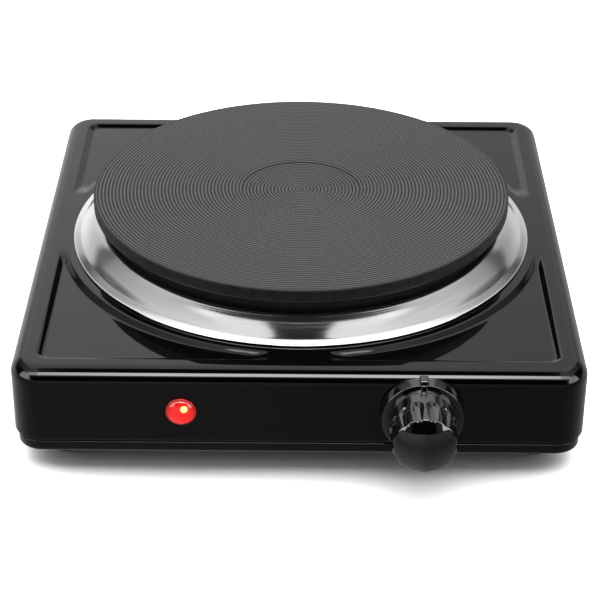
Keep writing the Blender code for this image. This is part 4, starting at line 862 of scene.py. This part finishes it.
class BURNER_OT_ring(bpy.types.Operator):
    """Build the polished trim ring with its rolled lip and sloped collar"""

    bl_idname = "burner.ring"
    bl_label = "Trim ring"

    def execute(self, context):
        sizes, colours = values(context)
        foot, outer, inner = RING_LOW.z, RING_OUTER, sizes.ring_inner
        thick = RING_THICKNESS
        reach, rise = outer - 3.1 * MM, foot + 1.75 * MM
        step = (reach - inner - 1.1 * MM) / (len(RING_SLOPES) - 1)
        slope = [(reach, rise)]
        for low, high in zip(RING_SLOPES, RING_SLOPES[1:]):
            reach -= step
            rise += step * math.tan(math.radians((low + high) / 2))
            slope.append((reach, rise))
        under = [(r, z - thick) for r, z in slope[1:]]
        profile = [
            (inner - 6.0 * MM, foot), (inner, foot), (inner + 0.2 * MM, foot + 3 * MM),
            (inner + 0.9 * MM, rise - thick),
            *under[::-1],
            (outer - 2.8 * MM, foot + 0.5 * MM), (outer - 2.0 * MM, foot),
            (outer - 0.35 * MM, foot), (outer, foot + 0.3 * MM),
            (outer - 0.1 * MM, foot + 0.62 * MM), (outer - 0.5 * MM, foot + 0.72 * MM),
            *slope,
            (inner + 0.2 * MM, rise + 0.15 * MM), (inner - 0.4 * MM, rise - 0.3 * MM),
            (inner - 0.8 * MM, foot + thick), (inner - 6.0 * MM, foot + thick),
        ]
        shape = turned(soften(profile, 0.25 * MM, 2, closed=True), 192, closed=True)
        move(shape, Matrix.Translation(AXIS))
        finish = ring_steel(colours)
        piece("ring_collar", shape, finish, stands_for=("trim_ring",))
        return {"FINISHED"}


class BURNER_OT_plate(bpy.types.Operator):
    """Build the cast plate with its recess, rim and skirt"""

    bl_idname = "burner.plate"
    bl_label = "Hot plate"

    def execute(self, context):
        sizes, colours = values(context)
        top, edge = PLATE_HIGH.z, sizes.plate_edge
        recess = top - sizes.recess_depth
        rim = top - sizes.plate_rim
        flat = [(PLATE_RADIUS - 8 * MM, top), (PLATE_RADIUS - 2 * MM, top)]
        outer = soften(
            [
                flat[-1],
                (PLATE_RADIUS, top), (PLATE_RADIUS, rim), (PLATE_RADIUS - 3 * MM, rim - 0.5 * MM),
                (PLATE_SKIRT, rim - edge), (PLATE_SKIRT, PLATE_LOW.z),
                (PLATE_HOLLOW, PLATE_LOW.z), (PLATE_HOLLOW, PLATE_LOW.z + 7 * MM),
                (0, PLATE_LOW.z + 7 * MM),
            ],
            edge,
            4,
        )
        reach = sizes.recess_radius
        profile = [
            (0, recess), (reach - 2.5 * MM, recess), (reach - 1.2 * MM, recess + 0.1 * MM),
            (reach - 0.6 * MM, recess + 0.4 * MM), (reach, top - 0.1 * MM),
            (reach + 0.8 * MM, top),
            flat[0],
            *outer,
        ]
        shape = move(turned(profile, 192), Matrix.Translation(AXIS))
        finish = cast_iron(colours, sizes)
        piece("plate_casting", shape, finish, stands_for=("hot_plate",))
        return {"FINISHED"}


# ---- knob, lens and grommet ----

KNOB_STAND = FRONT_WALL - KNOB_HIGH.y
DOME_STEPS = 16
GRIP_STEPS = 40
RIB_STEPS = 16
BUSH_RADIUS = 5.6 * MM
SHAFT_RADIUS = 3.3 * MM
SHAFT_REACH = 15.3 * MM
HOLLOW_RADIUS = 10 * MM
SCOOP_WIDTH = 0.94


def add_ridge(shape, width, low, high, edge):
    """A bar of a width between two corners, its edges rounded."""
    middle = (Vector(low) + Vector(high)) / 2
    size = Vector(high) - Vector(low)
    matrix = Matrix.Translation(middle) @ Matrix.Diagonal((width, size.y, size.z, 1))
    made = bmesh.ops.create_cube(shape, size=1.0, matrix=matrix)
    edges = list({edge for vert in made["verts"] for edge in vert.link_edges})
    rounding = {"offset": edge, "offset_type": "OFFSET", "segments": 4, "profile": 0.5}
    bmesh.ops.bevel(shape, geom=edges, affect="EDGES", material=-1, clamp_overlap=True, **rounding)


def knob_shape(sizes):
    """The knob round Z, which is its axis: skirt, scooped grip and domed cap."""
    stand = KNOB_STAND
    face = stand + sizes.skirt_depth
    cap, rib, bulge = sizes.cap_radius, sizes.rib_radius, sizes.cap_bulge
    half_angle = math.asin(cap / bulge)
    rim = KNOB_REACH - bulge * (1 - math.cos(half_angle))
    end = math.pi / 2 - half_angle
    dome = arc((0, KNOB_REACH - bulge), bulge, math.pi / 2, end, DOME_STEPS)
    bend = sizes.cap_round
    centre = (cap - bend * math.sin(half_angle), rim - bend * math.cos(half_angle))
    dome += arc(centre, bend, end, 0, 8)[1:]
    start = dome[-1]
    shares = [i / GRIP_STEPS for i in range(1, GRIP_STEPS + 1)]
    side = [(start[0] + (rib - start[0]) * k, start[1] + (face - start[1]) * k) for k in shares]
    front_radius = KNOB_RADIUS - 0.9 * MM
    skirt = soften(
        [
            side[-1],
            (front_radius, face), (KNOB_RADIUS, stand + 0.8 * MM), (KNOB_RADIUS, stand),
            (KNOB_RADIUS - 2.2 * MM, stand), (KNOB_RADIUS - 2.6 * MM, face - 1.4 * MM),
            (HOLLOW_RADIUS, face - 1.4 * MM), (HOLLOW_RADIUS, stand + 8.5 * MM),
            (BUSH_RADIUS, stand + 8.5 * MM), (BUSH_RADIUS, face), (SHAFT_RADIUS, face),
            (SHAFT_RADIUS, SHAFT_REACH), (0, SHAFT_REACH),
        ],
        0.35 * MM,
        3,
    )
    shape = turned([*dome, *side, *skirt[1:]], sizes.flutes * RIB_STEPS)
    scoop_end = face + sizes.scoop_start
    for vert in shape.verts:
        reach = vert.co.xy.length
        if reach < cap * 0.8 or vert.co.z < face + 1e-6 or reach > rib + 1e-6:
            continue
        turn = math.atan2(vert.co.x, vert.co.y) * sizes.flutes / math.tau
        across = abs(turn % 1.0 - 0.5) * 2
        back = max((scoop_end - vert.co.z) / (0.5 * math.tau * rib / sizes.flutes), 0.0)
        cut = max(1 - (across / SCOOP_WIDTH) ** 2 - back * back, 0.0)
        bottom = rib + 0.1 * MM - sizes.scoop_depth * math.sqrt(cut) * 1.05
        if bottom < reach:
            vert.co.xy *= bottom / reach
    return shape


class BURNER_OT_knob(bpy.types.Operator):
    """Build the knob with its skirt, pointer ridge, scooped grip and cap"""

    bl_idname = "burner.knob"
    bl_label = "Knob"

    def execute(self, context):
        sizes, colours = values(context)
        finish = knob_plastic(colours)
        shape = knob_shape(sizes)
        face = KNOB_STAND + sizes.skirt_depth
        tip = KNOB_HIGH.z - KNOB_CENTRE.z
        low = (0, KNOB_RADIUS - 1.8 * MM, KNOB_STAND + 0.3 * MM)
        add_ridge(shape, 3.8 * MM, low, (0, tip, face + 0.5 * MM), 0.9 * MM)
        low = (0, sizes.rib_radius - 1 * MM, face - 0.4 * MM)
        high = (0, KNOB_RADIUS - 0.6 * MM, face + 0.7 * MM)
        add_ridge(shape, 2.6 * MM, low, high, 0.5 * MM)
        move(shape, forward(KNOB_CENTRE))
        name, cad = "knob_moulding", ("knob",)
        piece(name, shape, finish, body=KNOB_BODY, stands_for=cad, angle=45)
        return {"FINISHED"}


class BURNER_OT_lens(bpy.types.Operator):
    """Build the domed indicator lens"""

    bl_idname = "burner.lens"
    bl_label = "Indicator lens"

    def execute(self, context):
        colours = context.scene.burner_colours
        radius = (LENS_HIGH.x - LENS_LOW.x) / 2
        gap, rise = 0.3 * MM, FRONT_WALL - LENS_LOW.y
        collar = gap + 0.7 * MM
        quarter = arc((0, 0), 1, math.pi / 2, 0, DOME_STEPS)
        dome = [((radius - 0.5 * MM) * x, collar + (rise - collar) * y) for x, y in quarter]
        depth = LENS_HIGH.y - FRONT_WALL
        body = soften(
            [
                (radius - 0.5 * MM, collar), (radius, collar), (radius, gap), (4.8 * MM, gap),
                (4.8 * MM, -depth), (3.5 * MM, -depth), (3.5 * MM, 0), (0, 0),
            ],
            0.25 * MM,
            3,
        )
        shape = turned([*dome, *body[1:]], 64)
        move(shape, forward(LENS_CENTRE))
        finish = lens_plastic(colours)
        piece("lens_dome", shape, finish, stands_for=("indicator_lens",))
        return {"FINISHED"}


class BURNER_OT_grommet(bpy.types.Operator):
    """Build the cord grommet of the rear wall"""

    bl_idname = "burner.grommet"
    bl_label = "Cord grommet"

    def execute(self, context):
        radius = (GROMMET_HIGH.x - GROMMET_LOW.x) / 2
        out, back = GROMMET_HIGH.y - REAR_WALL, REAR_WALL - GROMMET_LOW.y
        wall = context.scene.burner_sizes.sheet
        gap = 0.3 * MM
        profile = soften(
            [
                (3.8 * MM, out), (5.2 * MM, out), (5.6 * MM, out - 0.5 * MM),
                (6.2 * MM, out - 0.5 * MM), (6.6 * MM, out), (radius - 1 * MM, out),
                (radius, out - 1 * MM), (radius, gap), (6.0 * MM, gap), (6.0 * MM, -wall - gap),
                (radius, -wall - gap), (radius - 1 * MM, -back), (3.8 * MM, -back),
            ],
            0.4 * MM,
            3,
            closed=True,
        )
        shape = turned(profile, 48, closed=True)
        place = Matrix.Translation(GROMMET_CENTRE) @ Matrix.Rotation(-math.pi / 2, 4, "X")
        finish = shared("foot_rubber_finish", FOOT_RUBBER)
        move(shape, place)
        piece("grommet_bush", shape, finish, stands_for=("cord_grommet",))
        return {"FINISHED"}


class BURNER_OT_inner(bpy.types.Operator):
    """Give the pieces inside the housing their finishes"""

    bl_idname = "burner.inner"
    bl_label = "Inner pieces"

    def execute(self, context):
        parts = frame["record"]["subparts"]
        slots = {part["node"]: part["material_slot"] for part in parts}
        for name, made in frame["nodes"].items():
            slot = slots[name]
            if slot not in INNER_FINISHES:
                continue
            label = f"{slot}_finish"
            finish = shared(label, INNER_FINISHES[slot])
            if not made.material_slots:
                made.data.materials.append(finish)
            for material_slot in made.material_slots:
                material_slot.material = finish
        return {"FINISHED"}


# ---- studio ----

CAMERA_PLACE = AXIS + Vector((2.16 * MM, -775.7 * MM, 463.5 * MM))
CAMERA_PITCH = 0.5308
CAMERA_YAW = -0.003
CAMERA_ROLL = 0.0062
CAMERA_LENS = 116.6
SENSOR = 36.0
FLOOR_GAP = 0.1 * MM
FLOOR_HALF = 4.0

# Levels of the studio by bearing: 0 is the horizon behind, 90 overhead, 180 the horizon in front.
ROOM_STOPS = [
    (-180, 0.36), (-165, 0.26), (-150, 0.17), (-120, 0.3), (-60, 0.6), (-8, 0.8), (0, 1.0),
    (36, 1.0), (60, 1.05), (78, 1.05), (85, 0.75), (140, 0.95), (147, 0.0), (180, 0.0),
]
FLANK_STOPS = [
    (-180, 0.36), (-150, 0.17), (-60, 0.6), (0, 1.0), (8, 0.9), (22, 0.58), (28, 0.5), (33, 0.1),
    (38, 0.1), (43, 0.22), (56, 0.27), (76, 0.42), (91, 0.58), (98, 0.72), (115, 0.8),
    (140, 0.95), (147, 0.15), (180, 0.1),
]
SOFTBOX_STOPS = [
    (-180, 0.03), (-4, 0.03), (4, 0.06), (44, 0.1), (52, 1.0), (87, 1.0), (93, 0.05), (140, 0.03),
    (180, 0.03),
]
SOFTBOX_STRENGTH = 10.0

# Where reflections find the studio's cards and lamps: bearings in degrees, and the sideways
# share of the direction.
FLANK_START = (0.34, 0.46)
RIGHT_DIMMING = 0.33
DARK_CARD = (81, 115)
DARK_CARD_REACH = 0.14
DARK_ENDS = (33, 150)
DARK_ENDS_START = (0.68, 0.74)
DARK_ENDS_DEPTH = 0.96
BAR = (115.5, 137)
BAR_REACH = 0.6
BAR_LEVELS = (11.0, 4.0)
SIDE_BOX_LEVEL = 3.6


def add_camera():
    lens = bpy.data.cameras.new("studio_camera")
    lens.lens = CAMERA_LENS
    lens.sensor_width = SENSOR
    lens.clip_start = 0.01
    lens.clip_end = 50
    made = bpy.data.objects.new("studio_camera", lens)
    turn = Matrix.Rotation(-CAMERA_YAW, 4, "Z")
    turn @= Matrix.Rotation(math.pi / 2 - CAMERA_PITCH, 4, "X")
    turn @= Matrix.Rotation(CAMERA_ROLL, 4, "Z")
    made.matrix_world = Matrix.Translation(CAMERA_PLACE) @ turn
    bpy.context.scene.collection.objects.link(made)
    bpy.context.scene.camera = made


def curve(tree, bearing, stops):
    """A level read off a row of stops, from -180 to 180 degrees."""
    ramp = node(tree, "ValToRGB", {0: span(tree, bearing, -180, 180)})
    points = ramp.color_ramp.elements
    points[0].position, points[1].position = 0.0, 1.0
    for _ in stops[2:]:
        points.new(0.5)
    for point, (place, level) in zip(points, stops):
        point.position = (place + 180) / 360
        point.color = (level, level, level, 1)
    return node(tree, "SeparateXYZ", {0: ramp.outputs["Color"]}).outputs["X"]


def below(tree, value, limit, soft):
    """1 under the limit and 0 over it, with a soft change."""
    return span(tree, value, limit - soft, limit + soft, 1.0, 0.0, smooth=True)


def between(tree, value, limits, soft):
    low, high = limits
    rise = span(tree, value, low - soft, low + soft, smooth=True)
    return product(tree, rise, below(tree, value, high, soft))


def reflected_room(tree, parts, bearing, side):
    """Brightness that reflections show: walls, dark cards, a bright bar and two side softboxes."""
    room = curve(tree, bearing, ROOM_STOPS)
    flank = curve(tree, bearing, FLANK_STOPS)
    wide = span(tree, side, *FLANK_START, smooth=True)
    walls = node(tree, "Mix", {0: wide, 2: room, 3: flank}).outputs[0]
    right = span(tree, parts["X"], -0.08, 0.12, 0.0, RIGHT_DIMMING, smooth=True)
    dim = product(tree, right, span(tree, bearing, 34, 48, 1.0, 0.0))
    over = between(tree, bearing, DARK_CARD, 1.0)
    over = product(tree, over, below(tree, side, DARK_CARD_REACH, 0.02))
    far = span(tree, side, *DARK_ENDS_START, smooth=True)
    ends = product(tree, far, between(tree, bearing, DARK_ENDS, 2), DARK_ENDS_DEPTH)
    shown = product(tree, walls, *(inverse(tree, mask) for mask in (dim, over, ends)))
    level = span(tree, side, 0.08, 0.2, *BAR_LEVELS)
    across = below(tree, side, BAR_REACH, 0.06)
    bar = product(tree, between(tree, bearing, BAR, 1.2), across, level)
    low = span(tree, parts["Z"], 0.03, 0.07, smooth=True)
    tall = product(tree, low, below(tree, parts["Z"], 0.64, 0.04))
    outer = span(tree, side, 0.56, 0.6, smooth=True)
    boxes = product(tree, tall, below(tree, parts["Y"], -0.18, 0.04), outer, SIDE_BOX_LEVEL)
    return math_node(tree, "ADD", shown, math_node(tree, "MAXIMUM", bar, boxes))


def studio_light():
    """White behind the object, one large soft light above it, and the room it reflects."""
    world = bpy.data.worlds.new("studio")
    world.use_nodes = True
    tree = world.node_tree
    tree.nodes.clear()
    parts = node(tree, "SeparateXYZ", {0: node(tree, "TexCoord").outputs["Generated"]}).outputs
    angle = math_node(tree, "ARCTAN2", parts["Z"], parts["Y"])
    bearing = product(tree, angle, 180 / math.pi)
    side = math_node(tree, "ABSOLUTE", parts["X"])
    soft = product(tree, curve(tree, bearing, SOFTBOX_STOPS), SOFTBOX_STRENGTH)
    levels = (reflected_room(tree, parts, bearing, side), soft, 1.0)
    white = {"Color": (1, 1, 1, 1)}
    shine, fill, plain = (
        node(tree, "Background", {**white, "Strength": level}).outputs[0] for level in levels
    )
    path = node(tree, "LightPath").outputs
    lit = node(tree, "MixShader", {0: path["Is Glossy Ray"], 1: fill, 2: shine}).outputs[0]
    both = node(tree, "MixShader", {0: path["Is Camera Ray"], 1: lit, 2: plain}).outputs[0]
    node(tree, "OutputWorld", {"Surface": both})
    bpy.context.scene.world = world


class BURNER_OT_stage(bpy.types.Operator):
    """Set up the pale floor, the soft studio light and the camera"""

    bl_idname = "burner.stage"
    bl_label = "Stage"

    def execute(self, context):
        colours = context.scene.burner_colours
        shape = bmesh.new()
        place = Matrix.Translation((0, 0, -FLOOR_GAP))
        bmesh.ops.create_grid(shape, x_segments=1, y_segments=1, size=FLOOR_HALF, matrix=place)
        mesh = bpy.data.meshes.new("studio_floor")
        shape.to_mesh(mesh)
        shape.free()
        floor = bpy.data.objects.new("studio_floor", mesh)
        context.scene.collection.objects.link(floor)
        made, tree, shader, _ = new_material("studio_floor_paint")
        look = {"Base Color": (*colours.floor, 1.0), "Roughness": 0.9, "Specular IOR Level": 0.0}
        feed(tree, shader, look)
        mesh.materials.append(made)
        floor.visible_glossy = False
        studio_light()
        add_camera()
        context.scene.view_settings.view_transform = "Standard"
        return {"FINISHED"}


# ---- panel and registration ----

STEPS = (
    BURNER_OT_stage,
    BURNER_OT_housing,
    BURNER_OT_tray,
    BURNER_OT_feet,
    BURNER_OT_ring,
    BURNER_OT_plate,
    BURNER_OT_knob,
    BURNER_OT_lens,
    BURNER_OT_grommet,
    BURNER_OT_inner,
)


class BURNER_PT_panel(bpy.types.Panel):
    """Lists the steps and the values they read"""

    bl_idname = "BURNER_PT_panel"
    bl_label = "Hot Plate Burner"
    bl_space_type = "VIEW_3D"
    bl_region_type = "UI"
    bl_category = "Burner"

    def draw(self, context):
        for step in STEPS:
            self.layout.operator(step.bl_idname)
        for group in values(context):
            column = self.layout.column()
            for name in group.bl_rna.properties.keys():
                if name not in {"rna_type", "name"}:
                    column.prop(group, name)


CLASSES = (BurnerSizes, BurnerColours, *STEPS, BURNER_PT_panel)


def register():
    for item in CLASSES:
        bpy.utils.register_class(item)
    bpy.types.Scene.burner_sizes = PointerProperty(type=BurnerSizes)
    bpy.types.Scene.burner_colours = PointerProperty(type=BurnerColours)


def unregister():
    del bpy.types.Scene.burner_colours
    del bpy.types.Scene.burner_sizes
    for item in reversed(CLASSES):
        bpy.utils.unregister_class(item)


def main():
    register()
    for step in STEPS:
        group, name = step.bl_idname.split(".")
        getattr(getattr(bpy.ops, group), name)()


if __name__ == "__main__":
    main()
